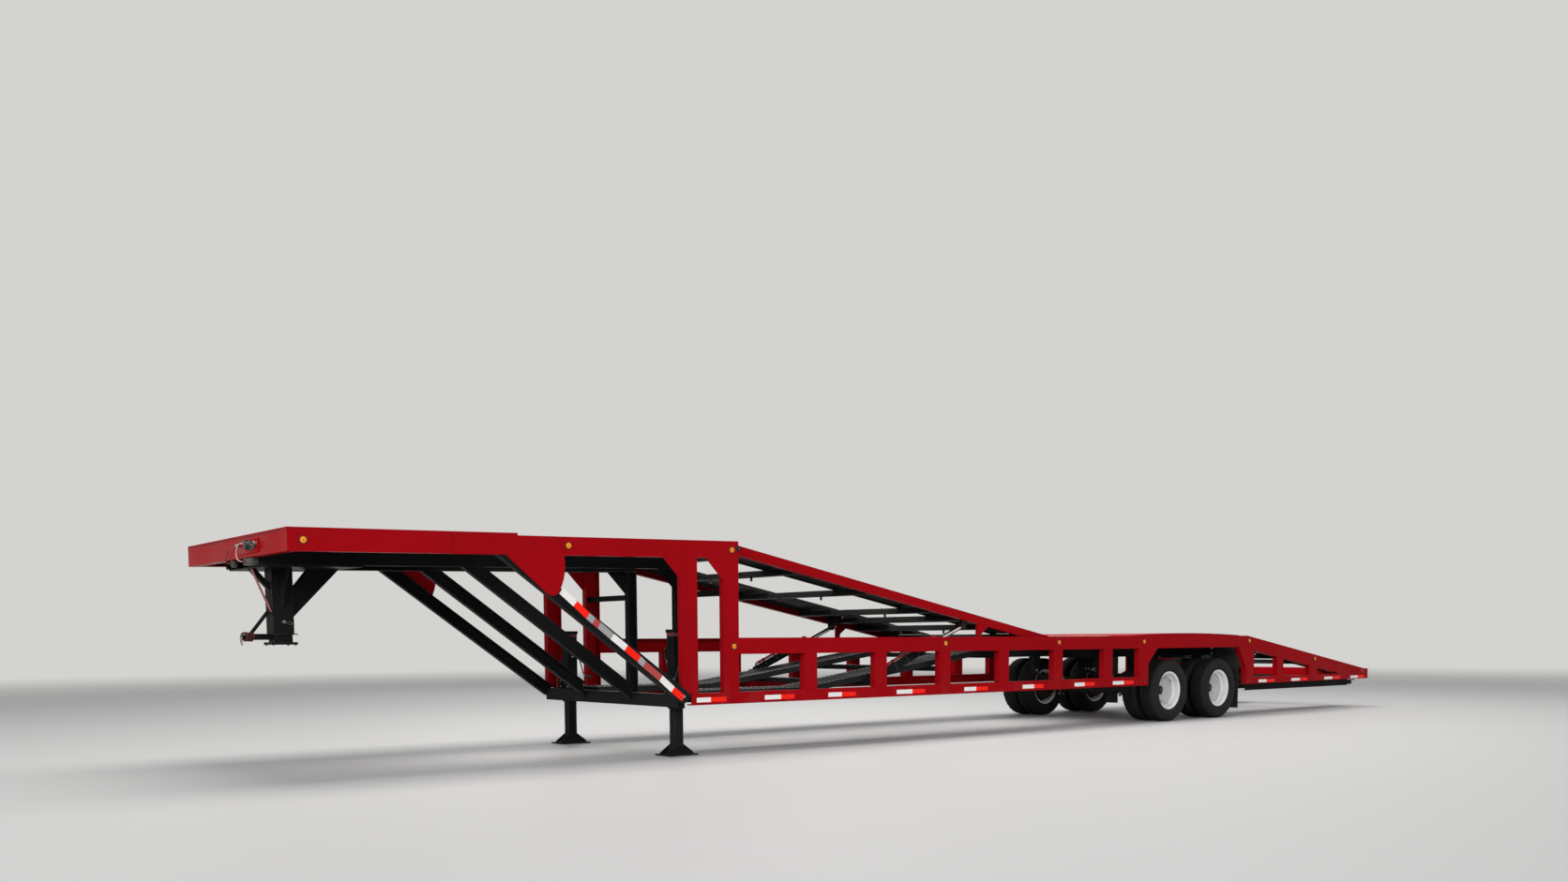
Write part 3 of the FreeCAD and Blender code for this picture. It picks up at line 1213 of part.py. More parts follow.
# ---------------------------------------------------------------- landing jacks
jack_half = d.jack_size / 2
jack_middle = d.jack_front + jack_half
leg_half = d.jack_leg / 2
foot_half = d.jack_foot / 2
sleeve_base, mount_height, cap_rim, cap_thick = 440, 290, 8, 30
gear_base, gear_deep, gear_tall, crank_radius = 900, 60, 110, 11
jack_parts = [
    block("jack_mount", d.jack_front - 10, -d.jack_place - 85, d.front_beam_base, 10, 170,
          mount_height),
    block("jack_sleeve", d.jack_front, -d.jack_place - jack_half, sleeve_base, d.jack_size,
          d.jack_size, d.jack_top - sleeve_base),
    block("jack_cap", d.jack_front - cap_rim, -d.jack_place - jack_half - cap_rim, d.jack_top,
          d.jack_size + cap_rim * 2, d.jack_size + cap_rim * 2, cap_thick),
    block("jack_gearbox", d.jack_front + 15, -d.jack_place + jack_half - 1, gear_base,
          d.jack_size - 30, gear_deep, gear_tall),
    bar("jack_crank_stub", crank_radius, 50, jack_middle,
        -d.jack_place + jack_half + gear_deep - 2, gear_base + gear_tall / 2),
    block("jack_inner", jack_middle - leg_half, -d.jack_place - leg_half, d.foot_thick,
          d.jack_leg, d.jack_leg, 430),
    block("jack_shoe", jack_middle - d.jack_foot_length / 2, -d.jack_place - foot_half, 0,
          d.jack_foot_length, d.jack_foot, d.foot_thick)]
shoe_run = d.jack_foot_length / 2 - 12
for name, across in (("in", d.jack_place - leg_half), ("out", d.jack_place + leg_half + 8)):
    jack_parts.append(side_plate(f"shoe_gusset_{name}", [
        (jack_middle - shoe_run, d.foot_thick - 1), (jack_middle + shoe_run, d.foot_thick - 1),
        (jack_middle + shoe_run, d.foot_thick + 14),
        (jack_middle + leg_half, d.foot_thick + d.foot_gusset),
        (jack_middle - leg_half, d.foot_thick + d.foot_gusset),
        (jack_middle - shoe_run, d.foot_thick + 14)], across, 8))
jack = joined("jack_weld", jack_parts)
both_sides("landing_jacks", jack)

# Hydraulic hose of each jack, from the cap down into the front cross beam.
hose_start = jack_middle.value + 30
sleeve_side = -(d.jack_place + jack_half).value
jack_hose = hose("jack_hose", [
    (hose_start, sleeve_side, 1110), (hose_start, sleeve_side - 16, 1110),
    (hose_start, sleeve_side - 35, 1099), (hose_start - 1, sleeve_side - 47, 1079),
    (hose_start - 6, sleeve_side - 50, 1040), (hose_start - 24, sleeve_side - 50, 972),
    (hose_start - 52, sleeve_side - 50, 890), (hose_start - 84, sleeve_side - 50, 800),
    (hose_start - 110, sleeve_side - 50, 718), (hose_start - 122, sleeve_side - 50, 640),
    (hose_start - 122, sleeve_side - 50, d.front_beam_top.value)], d.hose_radius)
both_sides("jack_hoses", jack_hose)

# ---------------------------------------------------------------- lift ramp
# Hinge shaft across the neck's rear end.
shaft_half = web_inner
finish("ramp_hinge_shaft", bar("hinge_shaft", d.hinge_radius, shaft_half * 2, d.hinge_station,
                               -shaft_half, d.hinge_height))

ramp_channel = sloping_channel("ramp_channel", d.ramp_front, d.ramp_end, ramp_top, d.ramp_depth,
                               flange=d.ramp_flange, face=d.ramp_outer)
ear_radius = d.hinge_radius + 14
ear = side_plate("hinge_ear", [
    (d.hinge_station, d.hinge_height - ear_radius), (d.ramp_front + 90, 1868),
    (d.ramp_front + 90, ramp_top(d.ramp_front + 90)),
    (d.ramp_front, ramp_top(d.ramp_front)),
    (d.hinge_station, d.hinge_height + ear_radius, ear_radius),
    (d.hinge_station - ear_radius, d.hinge_height, ear_radius)],
    d.ramp_outer, d.ramp_flange)
ear_hole = bar("ear_hole", d.hinge_radius + d.hinge_gap, d.ramp_flange + 20, d.hinge_station,
               -d.ramp_outer - 10, d.hinge_height)
leg = block("rest_leg", d.leg_front, -d.ramp_outer, 1048, 60, 35,
            ramp_top(d.leg_front + 60) - d.ramp_depth + 6 - 1048)
leg_brace = side_plate("leg_brace", [
    (d.leg_front + 59, ramp_top(d.leg_front + 59) - d.ramp_depth - 105),
    (d.leg_front + 180, ramp_top(d.leg_front + 180) - d.ramp_depth + 4),
    (d.leg_front + 59, ramp_top(d.leg_front + 59) - d.ramp_depth + 4)],
    d.ramp_outer, 10)
finish_sides("ramp_rail", less("ramp_rail_cut", joined("ramp_rail_weld", [
    ramp_channel, ear, leg, leg_brace]), ear_hole))

both_sides("ramp_runways", runway("ramp_track", [
    (d.ramp_front, ramp_top(d.ramp_front)), (d.ramp_track_end, ramp_top(d.ramp_track_end))],
    d.neck_track_depth, d.ramp_track_inner, d.ramp_outer - d.ramp_flange))

# Cross members of the ramp, square to it, and the lugs for the rods' eyes under the fourth.
ramp_tilt = math.degrees(math.atan(d.ramp_fall.value))
ramp_cross = []
pin_reach = lug_gap - 0.3
ramp_stations = [4330, *(d.side_post_first + d.side_post_pitch * i for i in range(4)), 8500]
for i, at in enumerate(ramp_stations):
    beam = cross_channel(f"ramp_cross_{i}", at, ramp_top(at) - d.neck_track_depth,
                         (d.ramp_outer - d.ramp_flange) * 2, 60, ramp_tilt)
    ramp_cross.append(beam)
lift_beam = cross_channel("lift_beam", d.eye_pin_station,
                          ramp_top(d.eye_pin_station) - d.neck_track_depth,
                          (d.ramp_outer - d.ramp_flange) * 2, 60, ramp_tilt, width=70)
lugs = [lift_beam]
lug_top = ramp_top(d.eye_pin_station) - 80
for name, across in (("in", d.cylinder_place - lug_gap), ("out", d.cylinder_place + lug_gap + 8)):
    lug = side_plate(f"lug_{name}", [
        (d.eye_pin_station - 28, d.eye_pin_height), (d.eye_pin_station - 20, d.eye_pin_height - 22),
        (d.eye_pin_station + 20, d.eye_pin_height - 22),
        (d.eye_pin_station + 28, d.eye_pin_height),
        (d.eye_pin_station + 32, lug_top - 6), (d.eye_pin_station - 32, lug_top + 6)],
        across, 8)
    lugs.append(lug)
    lugs.append(mirrored(lug, f"lug_{name}_twin"))
head_radius, head_wide = d.pin_radius + 6, 6
for name, across in (("in", d.cylinder_place - lug_gap - 8),
                     ("out", d.cylinder_place + lug_gap + 8 + head_wide)):
    lug_head = bar(f"pin_head_{name}", head_radius, head_wide, d.eye_pin_station, -across,
                   d.eye_pin_height)
    lugs += [lug_head, mirrored(lug_head, f"pin_head_{name}_twin")]
ramp_cross.append(joined("lift_beam_weld", lugs))
finish("ramp_cross_members", group("ramp_cross", ramp_cross))

# ---------------------------------------------------------------- lift cylinders

cylinder_slope = math.degrees(math.atan2(
    d.eye_pin_height.value - d.base_pin_height.value,
    d.eye_pin_station.value - d.base_pin_station.value))
cylinder_run = math.hypot(
    d.eye_pin_height.value - d.base_pin_height.value,
    d.eye_pin_station.value - d.base_pin_station.value)


def along_cylinder(name, corners):
    """A turned piece on the cylinder's axis: (along, radius) corners from the base pin."""
    body = new_body(name)
    drawing = sketch(body, corners)
    turn = body.newObject("PartDesign::Revolution", name + "_turn")
    turn.Profile = drawing
    turn.ReferenceAxis = (drawing, ["H_Axis"])
    turn.Angle = 360
    return body


def to_cylinder(body):
    """Lays a piece on the left cylinder's axis, its origin at the base pin."""
    return place(body, d.base_pin_station, -d.cylinder_place, d.base_pin_height,
                 -cylinder_slope)


def eye(name, along, bore):
    """The cross tube of a cylinder's eye, on the cylinder's axis."""
    body = new_body(name)
    pad(body, circle(body, along, d.eye_radius), d.eye_width, centred=True)
    pocket(body, circle(body, along, bore), d.eye_width + 10, centred=True)
    return to_cylinder(body)


barrel = along_cylinder("barrel", [
    (28, 0), (28, 20), (60, d.barrel_radius), (d.barrel_length - 50, d.barrel_radius),
    (d.barrel_length - 50, d.barrel_radius + 3), (d.barrel_length, d.barrel_radius + 3),
    (d.barrel_length, d.rod_radius + d.rod_gap),
    (d.barrel_length - 60, d.rod_radius + d.rod_gap), (d.barrel_length - 60, d.barrel_bore),
    (90, d.barrel_bore), (90, 0)])
finish_sides("lift_cylinder", joined("barrel_weld", [
    to_cylinder(barrel), eye("base_eye", size(0), d.pin_radius + d.rod_gap)]))

rod_end = cylinder_run - 28
rod = along_cylinder("rod", [
    (110, 0), (110, d.barrel_bore - 0.3), (150, d.barrel_bore - 0.3), (150, d.rod_radius),
    (rod_end - 40, d.rod_radius), (rod_end, 20), (rod_end, 0)])
rod_pin = new_body("rod_pin")
pad(rod_pin, circle(rod_pin, cylinder_run, d.pin_radius), pin_reach * 2, centred=True)
finish_sides("lift_rod", joined("rod_weld", [
    to_cylinder(rod), eye("rod_eye", size(cylinder_run), d.pin_radius - 1),
    to_cylinder(rod_pin)]))

# ---------------------------------------------------------------- check and write
doc.recompute()
faults = [item.Name for item in doc.Objects if "Invalid" in item.State or "Error" in item.State]
for label, piece in sub_parts.items():
    shape = piece.Shape
    if shape.isNull() or not shape.isValid() or shape.Volume <= 0:
        faults.append(label)
if faults:
    raise RuntimeError("failed: " + ", ".join(faults))
os.makedirs("parts", exist_ok=True)
for label, piece in sub_parts.items():
    piece.Shape.exportStep(f"parts/{label}.step")
print(len(sub_parts), "sub-parts written")
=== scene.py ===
"""Looks of a gooseneck car transporter trailer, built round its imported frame.

X runs rearwards, Y to the right side and Z up, in metres.  Places along the trailer are
stations: distances behind the front face of the header.
"""
import math

import bmesh
import bpy
from mathutils import Matrix, Vector


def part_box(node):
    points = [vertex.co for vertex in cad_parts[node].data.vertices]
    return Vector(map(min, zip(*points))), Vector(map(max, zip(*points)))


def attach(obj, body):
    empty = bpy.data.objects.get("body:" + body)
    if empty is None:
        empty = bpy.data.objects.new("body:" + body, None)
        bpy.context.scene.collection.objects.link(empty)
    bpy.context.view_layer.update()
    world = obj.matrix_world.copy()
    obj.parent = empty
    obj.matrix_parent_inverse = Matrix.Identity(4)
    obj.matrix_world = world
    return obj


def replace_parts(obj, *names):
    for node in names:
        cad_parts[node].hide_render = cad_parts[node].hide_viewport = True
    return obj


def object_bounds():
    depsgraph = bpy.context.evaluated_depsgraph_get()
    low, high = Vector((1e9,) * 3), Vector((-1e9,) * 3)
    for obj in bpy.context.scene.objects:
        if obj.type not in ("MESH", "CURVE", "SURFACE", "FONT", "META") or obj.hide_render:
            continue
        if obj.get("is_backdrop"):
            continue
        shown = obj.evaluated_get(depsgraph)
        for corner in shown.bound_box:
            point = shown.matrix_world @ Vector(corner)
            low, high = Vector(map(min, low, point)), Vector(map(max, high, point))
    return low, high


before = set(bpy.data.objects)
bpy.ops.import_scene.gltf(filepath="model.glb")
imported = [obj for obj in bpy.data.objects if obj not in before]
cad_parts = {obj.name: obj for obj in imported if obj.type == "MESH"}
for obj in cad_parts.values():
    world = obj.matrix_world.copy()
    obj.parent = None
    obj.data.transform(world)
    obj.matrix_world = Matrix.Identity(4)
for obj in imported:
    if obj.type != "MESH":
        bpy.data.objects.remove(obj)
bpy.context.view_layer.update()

# ------------------------------ camera
# A standing eye in front of the near corner; the frame sits low, so the lens is shifted up.
header_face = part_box("header_beam")[0].x


def along(station):
    """X of a place a distance behind the header's front face."""
    return header_face + station


def stand(name, data):
    """A new object in the scene."""
    made = bpy.data.objects.new(name, data)
    bpy.context.scene.collection.objects.link(made)
    return made


EYE = (along(-3.308), -11.142, 1.080)
camera = stand("camera", bpy.data.cameras.new("camera"))
camera.data.lens = 29.98
camera.data.shift_x, camera.data.shift_y = -0.0090, 0.1892
camera.data.clip_end = 300
yaw, pitch, roll = (math.radians(angle) for angle in (39.732, -4.295, -0.309))
forward = Vector((math.sin(yaw) * math.cos(pitch), math.cos(yaw) * math.cos(pitch),
                  math.sin(pitch)))
level = Vector((math.cos(yaw), -math.sin(yaw), 0))
upright = level.cross(forward)
right_hand = level * math.cos(roll) + upright * math.sin(roll)
overhead = upright * math.cos(roll) - level * math.sin(roll)
camera.matrix_world = Matrix.Translation(EYE) @ Matrix(
    (right_hand, overhead, -forward)).transposed().to_4x4()
bpy.context.scene.camera = camera

# ------------------------------ studio
# A pale matt floor that melts into a pale background, and broad soft lamps.
SOCKETS = {"colour": "Base Color", "rough": "Roughness", "metal": "Metallic",
           "specular": "Specular IOR Level"}


def blank_material(name):
    """A new node material, its tree and its main shader."""
    material = bpy.data.materials.new(name)
    material.use_nodes = True
    return material, material.node_tree, material.node_tree.nodes["Principled BSDF"]


def put(tree, socket, value):
    """Feeds a socket a plain value or another node's output."""
    if isinstance(value, bpy.types.NodeSocket):
        tree.links.new(value, socket)
    else:
        socket.default_value = value


def add(tree, kind, inputs=None, **settings):
    """A node with its settings and what its inputs are fed."""
    made = tree.nodes.new(kind)
    for key, value in settings.items():
        setattr(made, key, value)
    for key, value in (inputs or {}).items():
        put(tree, made.inputs[key], value)
    return made


def feed(tree, shader, **given):
    """Feeds a main shader by the short names of its sockets."""
    for label, value in given.items():
        put(tree, shader.inputs[SOCKETS[label]], value)


def sums(tree, operation, *terms):
    """The result of arithmetic."""
    return add(tree, "ShaderNodeMath", dict(enumerate(terms)), operation=operation).outputs[0]


def vectors(tree, operation, *terms):
    """The result of work on vectors: a number for a length or a dot product."""
    made = add(tree, "ShaderNodeVectorMath", dict(enumerate(terms)), operation=operation)
    return made.outputs["Value" if operation in ("LENGTH", "DOT_PRODUCT") else "Vector"]


def place_of(tree):
    """The place of a point."""
    return add(tree, "ShaderNodeTexCoord").outputs["Object"]


def seen_directly(tree):
    """1 for what the camera, a mirror or a glass shows, and 0 for what lights the object."""
    rays = add(tree, "ShaderNodeLightPath").outputs
    shown = sums(tree, "MAXIMUM", rays["Is Camera Ray"], rays["Is Glossy Ray"])
    return sums(tree, "MAXIMUM", shown, rays["Is Transmission Ray"])


def end_mixed(tree, ending, amount, first, second):
    """Ends a tree with a mix of two shaders."""
    mixed = add(tree, "ShaderNodeMixShader", {0: amount, 1: first.outputs[0],
                                              2: second.outputs[0]})
    tree.links.new(mixed.outputs[0], tree.nodes[ending].inputs["Surface"])


BACKGROUND = (0.655, 0.65, 0.63, 1)
FLOOR_REACH, FADE_FROM, FADE_TO = 160, 15, 38

floor_finish, tree, shader = blank_material("studio_floor")
feed(tree, shader, colour=(0.385, 0.378, 0.370, 1), rough=0.5, specular=0.08)
fade = add(tree, "ShaderNodeMapRange", {
    "Value": vectors(tree, "LENGTH", place_of(tree)), "From Min": FADE_FROM,
    "From Max": FADE_TO}, interpolation_type="SMOOTHSTEP").outputs["Result"]
glow = add(tree, "ShaderNodeEmission", {"Color": BACKGROUND, "Strength": 1})
end_mixed(tree, "Material Output", sums(tree, "MULTIPLY", fade, seen_directly(tree)), shader,
          glow)

floor_mesh = bpy.data.meshes.new("floor")
floor_mesh.from_pydata([(x * FLOOR_REACH, y * FLOOR_REACH, 0)
                        for x, y in ((-1, -1), (1, -1), (1, 1), (-1, 1))], [], [(0, 1, 2, 3)])
floor_mesh.materials.append(floor_finish)
stand("floor", floor_mesh)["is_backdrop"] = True

world = bpy.data.worlds.new("studio")
bpy.context.scene.world = world
world.use_nodes = True
tree = world.node_tree
sky = tree.nodes["Background"]
sky.inputs["Color"].default_value = (0.92, 0.95, 1.0, 1)
sky.inputs["Strength"].default_value = 0.55
backdrop = add(tree, "ShaderNodeBackground", {"Color": BACKGROUND, "Strength": 1})
end_mixed(tree, "World Output", seen_directly(tree), sky, backdrop)

# name, place, aim, width and height, power
LAMPS = (
    ("key", (-11, -24, 10), (0, 0, 0.8), 18, 10, 2600),
    ("ceiling", (0, 0, 11), (0, 0, 0), 18, 6, 2300),
    ("rim", (6, 14, 8), (0, 0, 0.5), 12, 6, 350),
    ("front", (-24, -7, 7), (-8, 0, 1.5), 10, 6, 2300),
)
for name, place, aim, wide, tall, power in LAMPS:
    lamp = stand(name, bpy.data.lights.new(name, "AREA"))
    lamp.data.shape, lamp.data.size, lamp.data.size_y = "RECTANGLE", wide, tall
    lamp.data.energy = power
    lamp.location = place
    lamp.rotation_euler = (Vector(aim) - Vector(place)).to_track_quat("-Z", "Y").to_euler()
bpy.context.scene.view_settings.view_transform = "Standard"

# ------------------------------ header
# A closed beam of folded steel plate across the front of the neck, sprayed deep red.  Along the
# lap under the deck plate, a dark bead in broken runs is painted shade for the seam's gap.
def mapped(tree, **laid):
    """The place of a point, moved, turned or scaled."""
    return add(tree, "ShaderNodeMapping", {"Vector": place_of(tree), **laid}).outputs["Vector"]


def noise(tree, scale, detail=3, stretch=(1, 1, 1), rough=0.5):
    """Soft noise in object space, from 0 to 1, with waves of about 1/scale metres."""
    return add(tree, "ShaderNodeTexNoise", {
        "Vector": mapped(tree, Scale=stretch), "Scale": scale, "Detail": detail,
        "Roughness": rough}).outputs["Fac"]


def ramp(tree, amount, low, high, start=0.0, end=1.0):
    """Maps an amount between two limits onto a range."""
    return add(tree, "ShaderNodeMapRange", {
        "Value": amount, "From Min": low, "From Max": high, "To Min": start,
        "To Max": end}).outputs["Result"]


def times(tree, first, second):
    """The product of two amounts."""
    return sums(tree, "MULTIPLY", first, second)


def blend(tree, amount, first, second):
    """A mix of two colours; each is a colour or an output."""
    return add(tree, "ShaderNodeMix", {0: amount, 6: first, 7: second},
               data_type="RGBA").outputs[2]


def along_axis(tree, axis, vector=None):
    """One part of a vector, or of the place of a point."""
    return add(tree, "ShaderNodeSeparateXYZ", {0: vector or place_of(tree)}).outputs[axis]


def bump(tree, shader, height, depth, rounded=0.0):
    """Bumps a surface by a height, whose full size is the depth, and rounds its edges."""
    made = add(tree, "ShaderNodeBump", {"Height": height, "Strength": 1, "Distance": depth})
    if rounded:
        edge = add(tree, "ShaderNodeBevel", {"Radius": rounded}, samples=4)
        tree.links.new(edge.outputs["Normal"], made.inputs["Normal"])
    tree.links.new(made.outputs["Normal"], shader.inputs["Normal"])


def edges(tree, reach):
    """1 near a sharp outer or inner edge and 0 on the flat."""
    rounded = add(tree, "ShaderNodeBevel", {"Radius": reach}, samples=4).outputs["Normal"]
    flat = add(tree, "ShaderNodeNewGeometry").outputs["Normal"]
    return ramp(tree, vectors(tree, "DOT_PRODUCT", rounded, flat), 0.995, 0.86)


DUST = (0.30, 0.24, 0.19, 1)


def enamel(name, colour, faded, dust=DUST, gloss=(0.2, 0.4), dust_line=0.9, worn=None):
    """Sprayed enamel: a colour that fades in patches, road dust low down, fine peel.

    Worn is the colour that shows along rubbed edges and in scuffs, and how much of it.
    """
    material, tree, shader = blank_material(name)
    body = blend(tree, ramp(tree, noise(tree, 0.9, 4), 0.35, 0.7), colour, faded)
    streaks = ramp(tree, noise(tree, 5, 6, (1, 1, 0.35), 0.65), 0.5, 0.85, 0, 0.12)
    body = blend(tree, times(tree, ramp(tree, along_axis(tree, "Z"), dust_line, 0.25), streaks),
                 body, dust)
    if worn:
        bare, amount = worn
        rubbed = times(tree, edges(tree, 0.006),
                       ramp(tree, noise(tree, 9, 6, rough=0.7), 0.42, 0.6, 0, amount))
        scuffs = ramp(tree, noise(tree, 14, 8, (0.25, 1, 1), 0.75), 0.66, 0.8, 0, amount * 0.5)
        body = blend(tree, sums(tree, "MAXIMUM", rubbed, scuffs), body, bare)
    feed(tree, shader, colour=body, rough=ramp(tree, noise(tree, 2.6, 5), 0.3, 0.7, *gloss),
         specular=0.02)
    bump(tree, shader, noise(tree, 60, 3), 0.00003, 0.004)
    return material


RED, RED_FADED = (0.285, 0.0025, 0.0055, 1), (0.25, 0.0025, 0.005, 1)
red_enamel = enamel("red_enamel", RED, RED_FADED, worn=((0.20, 0.010, 0.009, 1), 0.35))


def dress(material, *nodes):
    """Gives CAD nodes a finish."""
    for name in nodes:
        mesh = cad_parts[name].data
        mesh.materials.clear()
        mesh.materials.append(material)


def shade(colour, by):
    """A colour made darker or lighter."""
    return tuple(value * by for value in colour[:3]) + (1,)


def plain(name, colour, roughness, metal=0.0, grain=0.0, grain_scale=120, variation=0.25):
    """A small part's finish: one colour with soft stains, and a grain of a given depth."""
    material, tree, shader = blank_material(name)
    stains = ramp(tree, noise(tree, 22, 5, rough=0.65), 0.35, 0.7)
    feed(tree, shader, colour=blend(tree, stains, colour, shade(colour, 1 - variation)),
         rough=ramp(tree, noise(tree, 40, 4), 0.3, 0.7, roughness * 0.8, roughness * 1.2),
         metal=metal)
    bump(tree, shader, noise(tree, grain_scale, 3), max(grain, 0.00002))
    return material


def node_tree(name, **inputs):
    """A Geometry Nodes tree with named inputs; its inputs and its result come with it."""
    tree = bpy.data.node_groups.new(name, "GeometryNodeTree")
    tree.interface.new_socket("Geometry", in_out="INPUT", socket_type="NodeSocketGeometry")
    for label, kind in inputs.items():
        tree.interface.new_socket(label, in_out="INPUT", socket_type="NodeSocket" + kind)
    tree.interface.new_socket("Geometry", in_out="OUTPUT", socket_type="NodeSocketGeometry")
    given = tree.nodes.new("NodeGroupInput").outputs
    return tree, given, tree.nodes.new("NodeGroupOutput").inputs[0]


def close_tree(tree, geometry, finish, result):
    """Ends a tree with real, finished geometry."""
    real = add(tree, "GeometryNodeRealizeInstances", {"Geometry": geometry})
    painted = add(tree, "GeometryNodeSetMaterial", {"Geometry": real.outputs[0],
                                                    "Material": finish})
    tree.links.new(painted.outputs[0], result)


def settle(made, body):
    """Gives a piece the body it rides on."""
    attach(made, body)
    return made


def grown(name, mesh, tree, slot, body, **sizes):
    """A piece that a Geometry Nodes tree grows from a plain mesh, with a mesh of its own."""
    made = stand(name, mesh)
    modifier = made.modifiers.new("grow", "NODES")
    modifier.node_group = tree
    for item in tree.interface.items_tree:
        if item.in_out == "INPUT" and item.name in sizes:
            modifier[item.identifier] = sizes[item.name]
    ready = made.evaluated_get(bpy.context.evaluated_depsgraph_get())
    grown_mesh = bpy.data.meshes.new_from_object(ready)
    made.modifiers.clear()
    made.data = grown_mesh
    return settle(made, body)


def spot(station, across, height):
    """A place on the trailer."""
    return Vector((along(station), across, height))


def lines(name, routes):
    """A mesh of open lines, each through (station, across, height) places."""
    places, links = [], []
    for route in routes:
        first = len(places)
        places += [spot(*at) for at in route]
        links += [(i, i + 1) for i in range(first, len(places) - 1)]
    mesh = bpy.data.meshes.new(name)
    mesh.from_pydata(places, links, [])
    return mesh


# A bead follows a line: rounds of slightly uneven size, one for each ripple.
bead, given, result = node_tree("bead", Radius="Float", Ripple="Float", Finish="Material")
route = add(bead, "GeometryNodeMeshToCurve", {"Mesh": given["Geometry"]}).outputs[0]
route = add(bead, "GeometryNodeResampleCurve", {"Curve": route, "Length": given["Ripple"]},
            mode="LENGTH").outputs[0]
uneven = add(bead, "FunctionNodeRandomValue", {2: 0.7, 3: 1.1, "Seed": 11},
             data_type="FLOAT").outputs[1]
route = add(bead, "GeometryNodeSetCurveRadius", {"Curve": route, "Radius": uneven}).outputs[0]
section = add(bead, "GeometryNodeCurvePrimitiveCircle", {"Resolution": 6,
                                                         "Radius": given["Radius"]})
swept = add(bead, "GeometryNodeCurveToMesh", {"Curve": route, "Profile Curve": section.outputs[0],
                                              "Fill Caps": True})
if "Scale" in swept.inputs:
    bead.links.new(uneven, swept.inputs["Scale"])
close_tree(bead, swept.outputs[0], given["Finish"], result)


def beads(name, routes, slot, finish, radius=0.004, ripple=0.006, body="frame"):
    """Beads along routes of (station, across, height) places."""
    grown(name, lines(name, routes), bead, slot, body, Radius=radius, Ripple=ripple,
          Finish=finish)


dress(red_enamel, "header_beam")
# a dark bead in broken runs under the deck plate's lap: painted shade for the seam's gap
seam_shade = plain("seam_shade", (0.03, 0.012, 0.012, 1), 0.7, grain=0.0003)
SEAM_SHADE_RUNS = ((-1.27, -0.93), (-0.91, -0.38), (-0.35, 0.22), (0.24, 0.71), (0.74, 1.27))
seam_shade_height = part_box("neck_deck")[0].z + 0.001
beads("header_seal", [[(0, start, seam_shade_height), (0, end, seam_shade_height)]
                      for start, end in SEAM_SHADE_RUNS], "black_rubber", seam_shade, 0.0034, 0.02)

# ------------------------------ header fittings
# A red bracket on the header carries the lighting socket and two air couplings; a junction
# box and a clip hang under the header, and two leads loop down to them.
AHEAD, BEHIND, UP, DOWN = (-1, 0, 0), (1, 0, 0), (0, 0, 1), (0, 0, -1)


def in_order(parts, key):
    """Sorts corners or faces, because bevelling leaves them in another order on each run."""
    for i, part in enumerate(sorted(parts, key=key)):
        part.index = i
    parts.sort()


def mesh_of(name, shape, sharp=35):
    """A mesh from a built shape: outward faces, smooth below the sharp angle in degrees."""
    bmesh.ops.remove_doubles(shape, verts=shape.verts, dist=1e-5)
    bmesh.ops.recalc_face_normals(shape, faces=shape.faces)
    in_order(shape.verts, lambda vert: tuple(vert.co))
    in_order(shape.faces, lambda face: tuple(face.calc_center_median()))
    mesh = bpy.data.meshes.new(name)
    shape.to_mesh(mesh)
    shape.free()
    mesh.shade_smooth()
    mesh.set_sharp_from_angle(angle=math.radians(sharp))
    return mesh


def piece(name, shape, finish, body="frame"):
    """A finished piece, from a mesh or a shape that is still open to change."""
    mesh = mesh_of(name, shape) if isinstance(shape, bmesh.types.BMesh) else shape
    mesh.materials.append(finish)
    return settle(stand(name, mesh), body)


def box(shape, low, high, rounding=0.0):
    """Adds a block between two (station, across, height) corners, its edges rounded."""
    low, high = spot(*low), spot(*high)
    made = bmesh.ops.create_cube(shape, size=1, matrix=Matrix.LocRotScale(
        (low + high) / 2, None, high - low))
    if rounding:
        sides = list(dict.fromkeys(edge for vert in made["verts"] for edge in vert.link_edges))
        bmesh.ops.bevel(shape, geom=sides, offset=rounding, segments=2, profile=0.5,
                        affect="EDGES", clamp_overlap=True)


def turned(shape, start, axis, profile, steps=24):
    """Adds a shape turned about an axis: (distance along, radius) corners from its start."""
    axis = Vector(axis).normalized()
    aside = axis.orthogonal().normalized()
    up = axis.cross(aside)
    rings = []
    for reach, radius in profile:
        middle = Vector(start) + axis * reach
        angles = [math.tau * i / steps for i in range(steps)] if radius else [0]
        rings.append([shape.verts.new(middle + (aside * math.cos(a) + up * math.sin(a)) * radius)
                      for a in angles])
    for ring, after in zip(rings, rings[1:]):
        for i in range(steps):
            corners = [ring[i % len(ring)], ring[(i + 1) % steps % len(ring)],
                       after[(i + 1) % steps % len(after)], after[i % len(after)]]
            corners = list(dict.fromkeys(corners))
            if len(corners) > 2:
                shape.faces.new(corners)


def solid(*profile):
    """A turned profile, closed by flat ends on its axis."""
    return ((profile[0][0], 0), *profile, (profile[-1][0], 0))


def ring(*profile):
    """A turned profile that closes on itself round a hole."""
    return (*profile, profile[0])


shape = bmesh.new()
box(shape, (-0.008, -0.65, 1.778), (0, -0.15, 1.882), 0.003)
box(shape, (-0.008, -0.66, 1.872), (0.0, -0.14, 1.886), 0.003)
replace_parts(piece("fitting_bracket", shape, red_enamel), "header_fittings")

